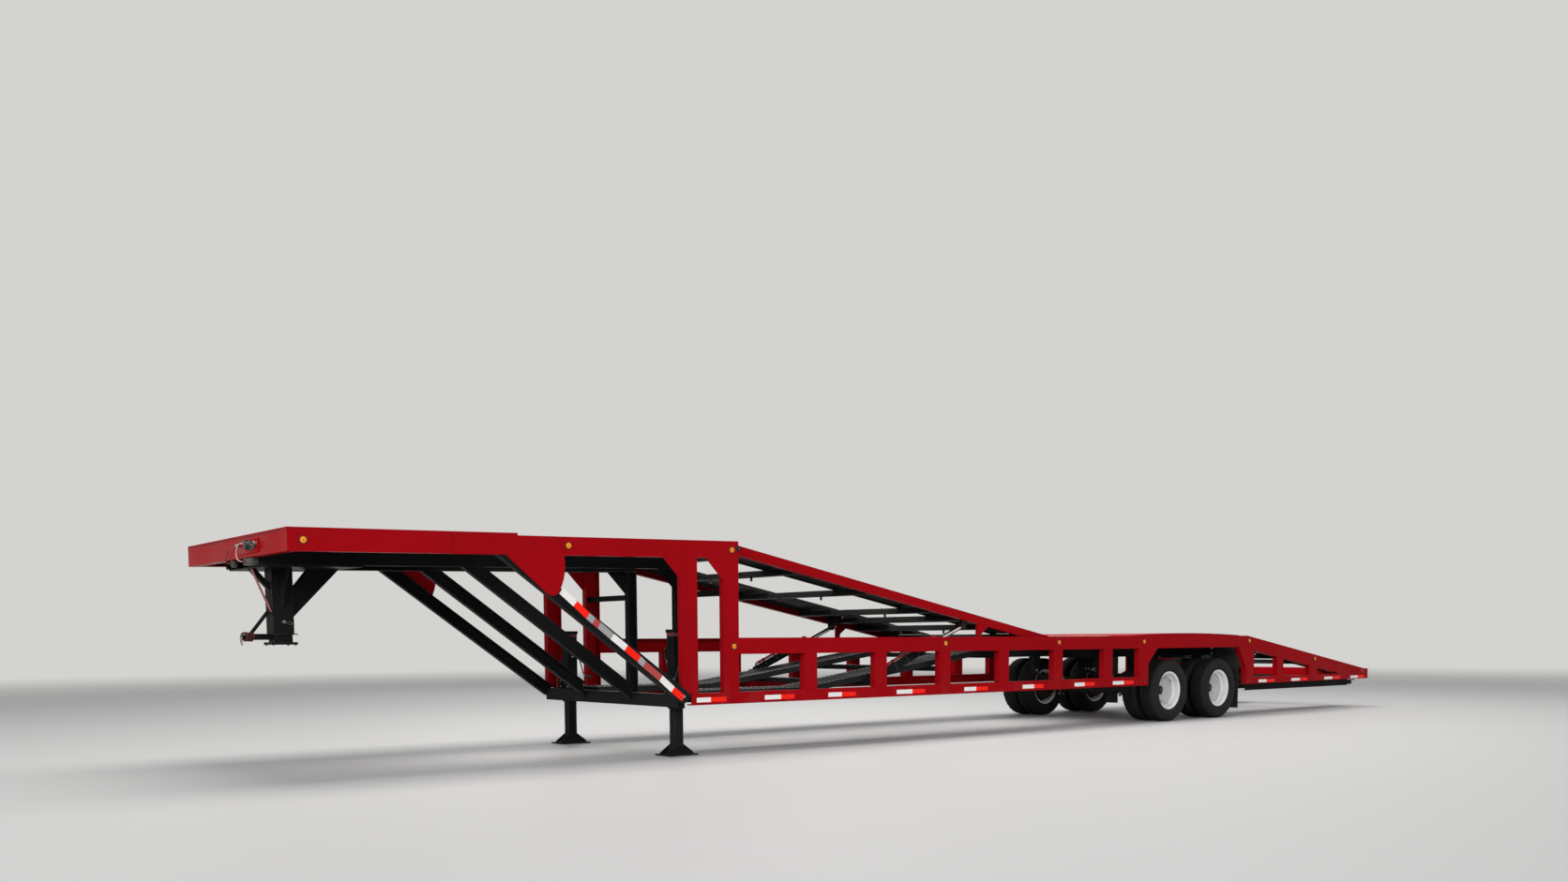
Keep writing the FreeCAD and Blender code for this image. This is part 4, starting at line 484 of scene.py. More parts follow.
COUPLINGS = ((-0.565, 1.822), (-0.618, 1.842))    # (across, height)
BRACKET_FACE = -0.008
black_plastic = plain("black_plastic", (0.014, 0.014, 0.015, 1), 0.45, grain=0.0001)
shape = bmesh.new()
turned(shape, spot(BRACKET_FACE, -0.470, 1.836), AHEAD, solid(
    (0, 0.044), (0.005, 0.044), (0.007, 0.034), (0.03, 0.033), (0.031, 0.036), (0.044, 0.036),
    (0.046, 0.033)))
box(shape, (-0.053, -0.492, 1.866), (-0.034, -0.448, 1.882), 0.003)
for across, height in COUPLINGS:
    turned(shape, spot(-0.0365, across, height), AHEAD,
           ring((0, 0.011), (0, 0.0175), (0.006, 0.0165), (0.006, 0.011)))
piece("lighting_socket", shape, black_plastic)

cast_alloy = plain("cast_alloy", (0.30, 0.24, 0.22, 1), 0.42, metal=1, grain=0.0003)
shape = bmesh.new()
for across, height in COUPLINGS:
    turned(shape, spot(BRACKET_FACE, across, height), AHEAD, solid(
        (0, 0.019), (0.006, 0.019), (0.008, 0.013), (0.018, 0.013), (0.021, 0.023),
        (0.029, 0.023), (0.0295, 0.019)))
    box(shape, (-0.034, across - 0.034, height - 0.006), (-0.026, across - 0.016, height + 0.006),
        0.002)
for across, height in ((-0.193, 1.850), (-0.393, 1.862)):
    box(shape, (-0.0405, across - 0.0125, height - 0.0125),
        (BRACKET_FACE, across + 0.0125, height + 0.0125), 0.004)
    turned(shape, spot(-0.028, across + 0.006, height), (0, 1, 0),
           ((0, 0), (0, 0.0115), (0.011, 0.0115), (0.013, 0.0085), (0.0135, 0)), 6)
piece("air_couplings", shape, cast_alloy)

grey_plastic = plain("grey_plastic", (0.045, 0.040, 0.040, 1), 0.5, grain=0.0001)
shape = bmesh.new()
box(shape, (0.010, -0.430, 1.700), (0.072, -0.220, 1.752), 0.004)
box(shape, (0.008, -0.432, 1.694), (0.074, -0.218, 1.699), 0.002)
box(shape, (0.010, 0.060, 1.694), (0.050, 0.106, 1.752), 0.005)
for across in (-0.418, -0.325, -0.232):
    for station in (0.018, 0.064):
        turned(shape, spot(station, across, 1.6945), DOWN, solid((0, 0.004), (0.0015, 0.0035)), 8)
for across in (-0.25, 0.083):
    turned(shape, spot(0.009, across, 1.723), AHEAD, ring(
        (0, 0.011), (0.009, 0.010), (0.013, 0.0068), (0.013, 0.0052), (0, 0.0052)), 6)
piece("junction_box", shape, grey_plastic)

lead_sheath, tree, shader = blank_material("lead_sheath")
feed(tree, shader, rough=0.5, colour=blend(
    tree, ramp(tree, along_axis(tree, "Y"), -0.214, -0.213), (0.48, 0.28, 0.25, 1),
    (0.16, 0.028, 0.022, 1)))
bump(tree, shader, noise(tree, 300, 2), 0.0002)
dress(lead_sheath, "header_leads")

# ------------------------------ neck and its deck
# Two channel rails rise to the hinge; runways lie between them and a tread plate covers the
# front.  Fish plates lap the rails over the diagonals, with a bead run round their edges.
LOZENGES = 24                                     # to a metre
LOZENGE_SHAPE = (2.3, 7.5, 0)                     # how steeply one falls off, across and along


def facing_up(tree, low, high):
    """1 on faces that look up and 0 on upright ones."""
    normal = add(tree, "ShaderNodeNewGeometry").outputs["Normal"]
    return ramp(tree, along_axis(tree, "Z", normal), low, high)


def treaded(tree):
    """Raised lozenges of tread plate on faces that look up, from 0 to 1."""
    raised = []
    for turn, shift in ((45, 0.0), (-45, 0.5)):
        cell = vectors(tree, "FRACTION", mapped(
            tree, Rotation=(0, 0, math.radians(turn)), Scale=(LOZENGES,) * 3,
            Location=(shift, shift, 0)))
        cell = vectors(tree, "SUBTRACT", cell, (0.5, 0.5, 0.5))
        cell = vectors(tree, "MULTIPLY", cell, LOZENGE_SHAPE)
        raised.append(ramp(tree, vectors(tree, "LENGTH", cell), 1.0, 0.55))
    return times(tree, sums(tree, "MAXIMUM", *raised), facing_up(tree, 0.6, 0.8))


def opened(material):
    """A finished material's tree, shader and colour, to paint over."""
    tree = material.node_tree
    shader = tree.nodes["Principled BSDF"]
    return tree, shader, shader.inputs["Base Color"].links[0].from_socket


def tread_plate(name, colour, rubbed):
    """Painted tread plate, rubbed on its raised pattern."""
    material = enamel(name, colour, shade(colour, 0.8), gloss=(0.35, 0.55))
    tree, shader, body = opened(material)
    raised = treaded(tree)
    patchy = ramp(tree, noise(tree, 3, 5), 0.35, 0.65, 0.15, 0.8)
    feed(tree, shader, colour=blend(tree, times(tree, raised, patchy), body, rubbed))
    bump(tree, shader, raised, 0.0018, 0.004)
    return material


RUBBED_RED = (0.40, 0.16, 0.14, 1)
SIDES = {"left": -1, "right": 1}
BOTH = (-1, 1)
dress(tread_plate("red_tread_plate", RED, RUBBED_RED), "neck_deck")
dress(red_enamel, "fish_plates", "neck_rail_left", "neck_rail_right")

black_enamel = enamel("black_enamel", (0.0065, 0.0065, 0.007, 1), (0.013, 0.013, 0.0135, 1),
                      (0.12, 0.10, 0.085, 1), (0.28, 0.5), worn=((0.09, 0.085, 0.08, 1), 0.7))
dress(black_enamel, "neck_cross_members", "neck_inner_beams")
RAIL_FACE = 1.287
NECK_RISE, NECK_DEPTH = 0.092 / 4.167, 0.158


def bow(start, end, radius, steps=6):
    """Places on an arc from a start to an end (station, height), bulging to its right."""
    start, end = Vector(start), Vector(end)
    chord = end - start
    square = Vector((chord.y, -chord.x)).normalized()
    inset = math.sqrt(radius * radius - (chord.length / 2) ** 2)
    centre = (start + end) / 2 - square * inset
    half = math.asin(chord.length / 2 / radius)
    return [tuple(centre + Matrix.Rotation(angle, 2) @ (square * radius))
            for angle in (half * (2 * i / steps - 1) for i in range(steps + 1))]


def neck_top(station):
    """Height of the neck rails' top."""
    return 1.910 + NECK_RISE * station


FISH_FOOT, FISH_HEEL, FISH_WAIST = (2.134, 1.486), (2.262, 1.512), (2.306, 1.800)
fish_edge = [(1.280, neck_top(1.280)), (1.284, neck_top(1.284) - NECK_DEPTH), (1.769, 1.791),
             bow(FISH_FOOT, FISH_HEEL, 0.420)[0], *bow(FISH_FOOT, FISH_HEEL, 0.075),
             *bow(FISH_HEEL, FISH_WAIST, 0.420),
             *bow(FISH_WAIST, (2.222, neck_top(2.222)), 0.500)]


def on_sides(routes, face):
    """The same (station, height) routes on both outer faces of the frame."""
    return [[(station, side * face, height) for station, height in route]
            for side in BOTH for route in routes]


beads("neck_beads", on_sides([fish_edge, [(0.076, 1.754), (0.076, 1.909)]], RAIL_FACE + 0.001),
      "red_paint", red_enamel, 0.0045)

# Hinge: the shaft ends show in the rails under pressed caps, each with a grease nipple.
OUT = {side: (0, side, 0) for side in BOTH}
steel_dull = plain("dull_steel", (0.30, 0.29, 0.28, 1), 0.45, metal=1, grain=0.0002)
for name, proud, profile, steps, slot, finish in (
        ("hinge_caps", 0, solid((0, 0.026), (0.003, 0.026), (0.004, 0.020), (0.0025, 0.018)),
         24, "black_paint", black_enamel),
        ("hinge_nipples", 0.002, solid((0, 0.005), (0.003, 0.005), (0.0035, 0.0025),
                                       (0.007, 0.0032), (0.0085, 0.002)),
         12, "chrome_rod", steel_dull)):
    shape = bmesh.new()
    for side in BOTH:
        turned(shape, spot(4.162, side * (RAIL_FACE + proud), 1.933), OUT[side], profile, steps)
    piece(name, shape, finish)

# ------------------------------ bolts, wherever used
# Plated hexagon heads on washers; one shape is set out on every place that takes a bolt,
# each head turned a little differently, as a spanner leaves them.
def instances(tree, points, shape, aim):
    """A shape on every point."""
    shown = add(tree, "GeometryNodeObjectInfo", {"Object": shape}).outputs["Geometry"]
    return add(tree, "GeometryNodeInstanceOnPoints", {
        "Points": points, "Instance": shown, "Rotation": aim}).outputs[0]


def spun(tree, aim, angle):
    """An aim turned about its own Z axis."""
    turn = add(tree, "ShaderNodeCombineXYZ", {"Z": angle}).outputs[0]
    turn = add(tree, "FunctionNodeEulerToRotation", {0: turn}).outputs[0]
    return add(tree, "FunctionNodeRotateRotation", {0: aim, 1: turn},
               rotation_space="LOCAL").outputs[0]


set_out, given, result = node_tree("set_out", Shape="Object", Turn="Float", Finish="Material")
facing = add(set_out, "GeometryNodeInputNamedAttribute", {"Name": "facing"},
             data_type="FLOAT_VECTOR").outputs["Attribute"]
aim = add(set_out, "FunctionNodeAlignRotationToVector", {"Vector": facing}, axis="Z").outputs[0]
turn = add(set_out, "FunctionNodeRandomValue", {2: 0.0, 3: given["Turn"], "Seed": 5},
           data_type="FLOAT").outputs[1]
close_tree(set_out, instances(set_out, given["Geometry"], given["Shape"],
                              spun(set_out, aim, turn)), given["Finish"], result)


def pattern(name, shape):
    """A shape to set out, kept only while the script runs."""
    return bpy.data.objects.new(name, mesh_of(name, shape))


def lathed(name, *parts):
    """A pattern of turned parts, each a profile and its count of sides."""
    shape = bmesh.new()
    for profile, steps in parts:
        turned(shape, (0, 0, 0), UP, profile, steps)
    return pattern(name, shape)


def set_shapes(name, shape, places, slot, finish, turn=0.0, body="frame"):
    """One shape on many places, each (station, across, height) with the way it faces."""
    mesh = bpy.data.meshes.new(name)
    mesh.from_pydata([spot(*place) for place, _way in places], [], [])
    ways = mesh.attributes.new("facing", "FLOAT_VECTOR", "POINT")
    ways.data.foreach_set("vector", [part for _place, way in places for part in way])
    return grown(name, mesh, set_out, slot, body, Shape=shape, Turn=turn, Finish=finish)


def bolt(size):
    """A washer, a chamfered hexagon head and its thread end; size is the thread's diameter."""
    return lathed(
        "bolt", (solid((0, size * 1.05), (size * 0.13, size * 1.05)), 16),
        (solid((size * 0.1, size * 0.92), (size * 0.68, size * 0.92),
               (size * 0.78, size * 0.80)), 6),
        (solid((size * 0.7, size * 0.5), (size, size * 0.46)), 10))


plated = plain("plated_steel", (0.42, 0.40, 0.36, 1), 0.38, metal=1, grain=0.0001)


def bolts(name, size, places, slot="black_paint", body="frame"):
    """Bolts on many places."""
    set_shapes(name, bolt(size), places, slot, plated, math.tau, body)


def on_rails(places):
    """(station, height) places on the outer faces of both rails."""
    return [((station, side * RAIL_FACE, height), OUT[side]) for side in BOTH
            for station, height in places]


bolts("foot_bolts", 0.012, on_rails([(3.530, 0.562)]))
# dark discs at the lower rails' ends: painted shade standing in for the shadowed bolt holes there
plug = lathed("plug", (solid((0, 0.014), (0.0015, 0.0138), (0.003, 0.0115), (0.0012, 0.0100)),
                       20))
set_shapes("rail_plugs", plug, on_rails([(10.565, 0.530), (13.010, 0.487)]), "black_rubber",
           black_plastic)
bolts("tail_bolts", 0.0075, on_rails([(16.085, 0.560), (16.135, 0.536), (16.135, 0.574)]))

# ------------------------------ coupler
# A square post carries an inner tube with the ball socket; its pin is held by a spring clip,
# and the safety chain is wound round the arm, with its end hanging free.
dress(black_enamel, "coupler_post", "coupler_socket")


def rod_mesh(name, route, radius, sides=3):
    """A round bar along a smooth route through (station, across, height) places."""
    curve = bpy.data.curves.new(name, "CURVE")
    curve.dimensions = "3D"
    curve.bevel_depth, curve.bevel_resolution, curve.use_fill_caps = radius, sides, True
    curve.resolution_u = 6
    line = curve.splines.new("NURBS")
    line.points.add(len(route) - 1)
    for point, place in zip(line.points, route):
        point.co = (*spot(*place), 1)
    line.order_u = 3
    line.use_endpoint_u = True
    holder = bpy.data.objects.new(name, curve)
    mesh = bpy.data.meshes.new_from_object(holder)
    bpy.data.objects.remove(holder)
    mesh.shade_smooth()
    return mesh


def merged(name, meshes):
    """One mesh of several."""
    shape = bmesh.new()
    for mesh in meshes:
        shape.from_mesh(mesh)
    return mesh_of(name, shape, 50)


POST_MIDDLE, PIN_HEIGHT = 0.355, 1.250
shape = bmesh.new()
for side in BOTH:
    turned(shape, spot(POST_MIDDLE, side * 0.099, PIN_HEIGHT), OUT[side],
           solid((0, 0.012), (0.010, 0.012), (0.012, 0.009)), 16)
piece("coupler_pin_ends", shape, steel_dull)
# (behind the post's middle, across, below the pin)
CLIP = ((-0.03, -0.105, 0), (0.012, -0.105, 0), (0.05, -0.105, 0.002), (0.066, -0.106, 0.016),
        (0.052, -0.107, 0.028), (0.03, -0.107, 0.018), (0.008, -0.107, 0.013),
        (-0.022, -0.106, 0.017))
clip = rod_mesh("clip", [(POST_MIDDLE + back, across, PIN_HEIGHT - down)
                         for back, across, down in CLIP], 0.002)
piece("coupler_pin_clip", merged("coupler_pin_clip", [clip]), steel_dull)

collar_bolts = [((POST_MIDDLE + ahead * 0.09, side * 0.09, 1.059), DOWN)
                for ahead in BOTH for side in BOTH]
head_bolts = [((station, side * 0.43, 1.6965 + NECK_RISE * (station - 0.1)), DOWN)
              for side in BOTH for station in (0.16, 0.30, 0.72, 0.84)]
bolts("coupler_bolts", 0.010, collar_bolts + head_bolts)
beads("coupler_beads", [
    [(0.272, side * 0.085, 1.385), (0.272, side * 0.085, 1.69)] for side in BOTH] + [
    [(0.44, side * 0.051, 1.275), (0.44, side * 0.051, 1.49)] for side in BOTH] + [
    [(0.27, -0.085, 1.6885), (0.27, 0.085, 1.6885)],
    [(0.282, -0.074, 1.151), (0.282, 0.074, 1.151)]], "black_paint", black_enamel)

# A thin red strap stays the post's front face to the underside of the header.
STRAP_HALF, STRAP_HALF_THICK = 0.024, 0.002
shape = bmesh.new()
strap_head, strap_foot = spot(0.118, -0.050, 1.690), spot(0.268, -0.050, 1.330)
strap_way = (strap_foot - strap_head).normalized()
strap_square = Vector((strap_way.z, 0, -strap_way.x))
corners = [shape.verts.new(end + Vector((0, side * STRAP_HALF, 0))
                           + strap_square * (face * STRAP_HALF_THICK))
           for end in (strap_head, strap_foot) for side in BOTH for face in BOTH]
for loop in ((0, 1, 3, 2), (4, 6, 7, 5), (0, 4, 5, 1), (2, 3, 7, 6), (0, 2, 6, 4), (1, 5, 7, 3)):
    shape.faces.new([corners[i] for i in loop])
strap_red = plain("strap_red", (0.26, 0.07, 0.065, 1), 0.45, grain=0.0002)
piece("post_strap", shape, strap_red)


def paced(tree, given):
    """The points of a line a pitch apart."""
    route = add(tree, "GeometryNodeMeshToCurve", {"Mesh": given["Geometry"]}).outputs[0]
    return add(tree, "GeometryNodeCurveToPoints", {"Curve": route, "Length": given["Pitch"]},
               mode="LENGTH").outputs


# Chain: links stand by turns flat and on edge along a line.
LINK_LONG, LINK_WIDE, LINK_WIRE = 0.030, 0.019, 0.0027
chain, given, result = node_tree("chain", Link="Object", Pitch="Float", Finish="Material")
points = paced(chain, given)
quarter_turns = times(chain, add(chain, "GeometryNodeInputIndex").outputs[0], math.pi / 2)
close_tree(chain, instances(chain, points[0], given["Link"],
                            spun(chain, points["Rotation"], quarter_turns)),
           given["Finish"], result)


def oval(long, wide, wire, steps=16, sides=6):
    """A chain link round its own Z axis: two half rounds joined by straight sides."""
    shape = bmesh.new()
    bend = (wide - wire * 2) / 2
    straight = long / 2 - wire - bend
    rings = []
    for i in range(steps):
        angle = math.tau * (i + 0.5) / steps
        ridge = Vector((0, math.cos(angle) * bend,
                        math.sin(angle) * bend + math.copysign(straight, math.sin(angle))))
        outward = Vector((0, math.cos(angle), math.sin(angle)))
        rings.append([shape.verts.new(ridge + (outward * math.cos(a) + Vector((math.sin(a), 0, 0)))
                                      * wire) for a in (math.tau * k / sides
                                                        for k in range(sides))])
    for i, here in enumerate(rings):
        after = rings[(i + 1) % steps]
        for k in range(sides):
            shape.faces.new((here[k], here[(k + 1) % sides], after[(k + 1) % sides], after[k]))
    return pattern("link", shape)


rust_red = plain("rusty_chain", (0.11, 0.016, 0.012, 1), 0.6, metal=0.3, grain=0.0004)
ARM_WRAPS, WRAP_STEPS = 3.4, 12
wraps = []
for step in range(int(ARM_WRAPS * WRAP_STEPS) + 1):
    angle = math.tau * step / WRAP_STEPS
    spread = 0.056 + 0.004 * math.sin(step * 1.7)
    wraps.append((0.058 + 0.078 * step / (ARM_WRAPS * WRAP_STEPS), spread * math.sin(angle),
                  1.124 + (0.031 + 0.003 * math.cos(step * 2.3)) * math.cos(angle)))
free_end = [(0.150, 0.018, 1.149), (0.10, 0.030, 1.156), (0.062, 0.022, 1.158),
            (0.041, 0.012, 1.140), (0.037, 0.006, 1.10), (0.042, 0.0, 1.07)]
grown("safety_chain", lines("safety_chain", [wraps, free_end]), chain, "black_paint", "frame",
      Link=oval(LINK_LONG, LINK_WIDE, LINK_WIRE), Pitch=LINK_LONG - LINK_WIRE * 4,
      Finish=rust_red)

# ------------------------------ gooseneck
# Channel diagonals run from the neck to the lower rails on each side and under the inner
# beams, black, with bars of red, white and silver reflective tape on the outer ones.
dress(black_enamel, "outer_diagonals", "gooseneck_inner_frame", "front_cross_beam")


def cell_walls(tree, scale, *limits):
    """A honeycomb's walls, from the distance to them."""
    return ramp(tree, add(tree, "ShaderNodeTexVoronoi", {
        "Vector": place_of(tree), "Scale": scale},
        feature="DISTANCE_TO_EDGE").outputs["Distance"], *limits)


def tape(name, colour, cell):
    """Reflective tape: a colour under clear film, over a fine honeycomb of cells."""
    material, tree, shader = blank_material(name)
    wall = cell_walls(tree, 260, 0.10, 0.04)
    scuffed = ramp(tree, noise(tree, 18, 6, rough=0.7), 0.62, 0.85, 0, 0.2)
    feed(tree, shader, colour=blend(tree, scuffed, blend(tree, wall, colour, cell), cell),
         rough=0.28, specular=0.15)
    bump(tree, shader, wall, 0.00005)
    return material


TAPES = {
    "white": (tape("white_tape", (0.80, 0.775, 0.75, 1), (0.62, 0.60, 0.58, 1)), "white_wheel"),
    "red": (tape("red_tape", (0.92, 0.012, 0.003, 1), (0.70, 0.012, 0.004, 1)), "red_lens"),
    "silver": (tape("silver_tape", (0.34, 0.33, 0.34, 1), (0.24, 0.22, 0.22, 1)), "chrome_rod"),
    "faded": (tape("faded_red_tape", (0.42, 0.06, 0.055, 1), (0.32, 0.05, 0.045, 1)), "red_lens"),
}
TAPE_THICK = 0.0007


def strip(shape, start, end, square, facing, wide):
    """Adds a strip of tape between two places, as wide as given along its square direction."""
    half = Vector(square).normalized() * wide / 2
    lift = Vector(facing) * TAPE_THICK
    low = [shape.verts.new(at) for at in (start - half, end - half, end + half, start + half)]
    high = [shape.verts.new(vert.co + lift) for vert in low]
    shape.faces.new(high)
    shape.faces.new(low[::-1])
    for i in range(4):
        k = (i + 1) % 4
        shape.faces.new((low[i], low[k], high[k], high[i]))


# bars on a diagonal from its head down: colour and where each ends (station, height)
DIAGONAL_TAPE_START, DIAGONAL_TAPE_WIDE = (2.276, 1.504), 0.062
DIAGONAL_TAPE = (
    ("white", 2.411, 1.396), ("red", 2.533, 1.293), ("silver", 2.590, 1.250),
    ("faded", 2.644, 1.212), ("silver", 2.774, 1.114), ("white", 2.914, 1.014),
    ("red", 3.048, 0.913), ("silver", 3.103, 0.866), ("faded", 3.277, 0.738),
    ("white", 3.407, 0.632), ("red", 3.520, 0.547))
# bars along a rail: base, top, then for each where it starts, turns from white to red, and ends
LEVEL_TAPES = (
    (0.504, 0.548, ((3.67, 3.83, 4.01), (4.47, 4.67, 4.84), (5.28, 5.46, 5.65),
                    (6.23, 6.46, 6.65), (7.26, 7.45, 7.64), (8.23, 8.43, 8.60),
                    (9.17, 9.36, 9.55), (9.91, 10.13, 10.33))),
    (0.451, 0.491, ((13.20, 13.40, 13.61), (14.06, 14.29, 14.50), (14.98, 15.21, 15.43),
                    (15.75, 15.97, 16.17))))
REAR_FACE, REAR_TAPE_MIDDLE, REAR_TAPE_WIDE = 16.28, 0.476, 0.048
REAR_TAPE = ((0.24, 0.39, 0.54), (0.60, 0.745, 0.89))
rolls = {colour: bmesh.new() for colour in TAPES}
for side in BOTH:
    facing = Vector(OUT[side])
    start = spot(DIAGONAL_TAPE_START[0], side * RAIL_FACE, DIAGONAL_TAPE_START[1])
    for colour, station, height in DIAGONAL_TAPE:
        end = spot(station, side * RAIL_FACE, height)
        strip(rolls[colour], start, end, (end - start).cross(facing), facing, DIAGONAL_TAPE_WIDE)
        start = end
    for base, top, bars in LEVEL_TAPES:
        for first, change, last in bars:
            for colour, begin, stop in (("white", first, change), ("red", change, last)):
                strip(rolls[colour], spot(begin, side * RAIL_FACE, (base + top) / 2),
                      spot(stop, side * RAIL_FACE, (base + top) / 2), UP, facing, top - base)
    for first, change, last in REAR_TAPE:
        for colour, begin, stop in (("red", first, change), ("white", change, last)):
            strip(rolls[colour], spot(REAR_FACE, side * begin, REAR_TAPE_MIDDLE),
                  spot(REAR_FACE, side * stop, REAR_TAPE_MIDDLE), UP, BEHIND, REAR_TAPE_WIDE)
for colour, (finish, slot) in TAPES.items():
    piece(f"{colour}_tape", rolls[colour], finish)

# ------------------------------ side frames
# Lower and mid rails are channels, open inwards, joined by channel posts with gussets.  The
# posts are welded flush, and the ground beads show as faint ridges under the enamel.
dress(red_enamel, *(f"{stem}_{side}" for side in SIDES
                    for stem in ("side_posts", "lower_rail", "mid_rail")))
RAIL_TOP, MID_BASE, MID_TOP = 0.589, 0.945, 1.100
POST_WIDTH = 0.165


def seam(start, end, height):
    """A level seam between two stations."""
    return [(start, height), (end, height)]


def rise(station, low, high):
    """An upright seam between two heights."""
    return [(station, low), (station, high)]


def below(top, drop, *stations):
    """Places a distance under a sloping top."""
    return [(station, top(station) - drop) for station in stations]


def flush_beads(name, routes):
    """Ground beads on the outer faces of both side frames."""
    beads(name, on_sides(routes, RAIL_FACE - 0.0012), "red_paint", red_enamel, 0.0032)


post_fronts = [5.052 + 0.953 * i - POST_WIDTH / 2 for i in range(6)]
flush_beads("side_frame_beads", [
    *(seam(front, front + POST_WIDTH, height) for front in post_fronts
      for height in (RAIL_TOP, MID_BASE)),
    seam(10.442, 10.637, RAIL_TOP), seam(10.442, 10.637, MID_BASE),
    seam(3.571, 3.690, RAIL_TOP), seam(3.994, 4.164, RAIL_TOP), rise(4.165, MID_BASE, MID_TOP),
    below(neck_top, NECK_DEPTH, 3.315, 3.690), below(neck_top, NECK_DEPTH, 3.789, 4.164),
    rise(12.900, MID_BASE, MID_TOP), rise(3.520, 1.617, 1.833), rise(3.994, 1.627, 1.843),
    rise(10.637, 0.755, 0.945), seam(10.637, 10.827, MID_BASE)])

# ------------------------------ marker lamps
# Round amber clearance lamps, each in a rubber grommet; the lens has a ring of prisms round
# a dark middle and a thin dark ring, painted shade of the lamp's dark inside seen through the
# lens.
MARKERS = ((0.119, 1.838), (2.355, 1.887), (4.090, 1.918), (4.105, 1.018), (6.963, 1.030),
           (8.875, 1.030), (10.539, 1.030), (12.948, 1.030))
grommet_rubber = plain("grommet_rubber", (0.012, 0.011, 0.011, 1), 0.7, grain=0.0002)


def lens(name, colour, deep):
    """Clear coloured plastic with small prisms behind a smooth face."""
    material, tree, shader = blank_material(name)
    facet = cell_walls(tree, 150, 0.02, 0.10)
    feed(tree, shader, colour=blend(tree, facet, deep, colour), rough=0.25, specular=0.12)
    bump(tree, shader, facet, 0.00012)
    return material


# lens and its dark middle of painted shade
AMBER = (lens("amber_lens", (0.95, 0.33, 0.006, 1), (0.60, 0.14, 0.003, 1)),
         plain("lens_shadow", (0.16, 0.035, 0.004, 1), 0.35))
RED_GLASS = (lens("red_lens", (0.55, 0.003, 0.004, 1), (0.30, 0.002, 0.002, 1)),
             plain("red_lens_shadow", (0.10, 0.003, 0.004, 1), 0.3))


def lamps(kind, shade_name, places, sizes, glass, slot):
    """Lamps on many places: a rubber grommet, the lens in it, and dark marks on the lens painted
    as the shade of the lamp's inside.
    """
    radius, lens_radius, rim, proud = sizes
    made = set_shapes(f"{kind}_grommets", lathed("grommet", (ring(
        (0, lens_radius), (0, radius), (rim * 0.5, radius), (rim, radius * 0.95),
        (rim, lens_radius * 1.06), (rim * 0.7, lens_radius)), 32)), places, "black_rubber",
        grommet_rubber)
    set_shapes(f"{kind}_lenses", lathed("lens", (solid(
        (0, lens_radius), (rim, lens_radius), (proud * 0.85, lens_radius * 0.86),
        (proud, lens_radius * 0.55), (proud * 0.93, lens_radius * 0.34)), 32)), places, slot,
        glass[0])
    # a dark middle disc and a thin dark ring: painted shade of the lamp's inside seen through the
    # lens
    set_shapes(shade_name, lathed(
        "lamp_middle", (solid((proud * 0.9, lens_radius * 0.26), (proud, lens_radius * 0.22)), 20),
        (ring((proud * 0.90, lens_radius * (0.70 - 0.035)),
              (proud * 0.96, lens_radius * (0.70 - 0.02)),
              (proud * 0.95, lens_radius * (0.70 + 0.02)),
              (proud * 0.85, lens_radius * (0.70 + 0.035))), 32)), places, slot, glass[1])
    return made


SIDE_LAMP = (0.032, 0.0235, 0.005, 0.0072)        # radius, lens's radius, rim's and lens's depth
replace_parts(lamps("marker", "marker_middles", on_rails(MARKERS), SIDE_LAMP, AMBER, "amber_lens"),
            "marker_lights")

# ------------------------------ belly
# Two folded steel runways drop into the well and climb over the axles on channel members.
# Rows of punched studs along both edges of each runway grip the tyres.
def steel_sheet(name, colour, rubbed):
    """Painted deck sheet: rubbed by tyres on top, with streaks along its length."""
    material = enamel(name, colour, shade(colour, 2.2), (0.16, 0.14, 0.12, 1), (0.4, 0.65), 3.0,
                      worn=((0.16, 0.145, 0.13, 1), 0.8))
    tree, shader, body = opened(material)
    lanes = ramp(tree, noise(tree, 3.2, 7, (0.18, 1.6, 1), 0.7), 0.40, 0.72)
    feed(tree, shader, colour=blend(tree, times(tree, facing_up(tree, 0.5, 0.8), lanes), body,
                                    rubbed))
    return material


dress(steel_sheet("worn_deck_black", (0.013, 0.013, 0.014, 1), (0.085, 0.080, 0.074, 1)),
      "neck_runways", "belly_runways", "ramp_runways", "tail_runways")
dress(black_enamel, "belly_cross_members")
STUD_RADIUS, STUD_TALL, STUD_INSET, STUD_PITCH = 0.019, 0.0045, 0.045, 0.062
TRACK_EDGES = (0.600 + STUD_INSET, 1.045 - STUD_INSET)

# Studs stand square to a route on the sheet, a pitch apart.
studs, given, result = node_tree("studs", Stud="Object", Pitch="Float", Finish="Material")
points = paced(studs, given)
aside = vectors(studs, "CROSS_PRODUCT", (0, 1, 0), points["Tangent"])
stud_aim = add(studs, "FunctionNodeAlignRotationToVector",
               {"Vector": vectors(studs, "MULTIPLY", aside, (-1, -1, -1))}, axis="Z").outputs[0]
close_tree(studs, instances(studs, points[0], given["Stud"], stud_aim), given["Finish"], result)

stud_steel = enamel("stud_steel", (0.12, 0.117, 0.112, 1), (0.24, 0.23, 0.22, 1),
                    (0.16, 0.14, 0.12, 1), (0.3, 0.5), 3.0, worn=((0.62, 0.60, 0.57, 1), 1.0))
# a raised ring round a sunken hole
stud = lathed("grip_stud", ((
    (0, 0), (0.0002, STUD_RADIUS), (STUD_TALL * 0.8, STUD_RADIUS * 0.74),
    (STUD_TALL, STUD_RADIUS * 0.62), (STUD_TALL * 0.7, STUD_RADIUS * 0.50),
    (0.0004, STUD_RADIUS * 0.48), (0.0004, 0)), 10))


def grip_rows(name, line, across=TRACK_EDGES, body="frame"):
    """Rows of studs along a line of (station, height), at each distance across, both sides."""
    grown(name, lines(name, [[(station, side * place, height) for station, height in line]
                             for side in BOTH for place in across]),
          studs, "black_deck", body, Stud=stud, Pitch=STUD_PITCH, Finish=stud_steel)


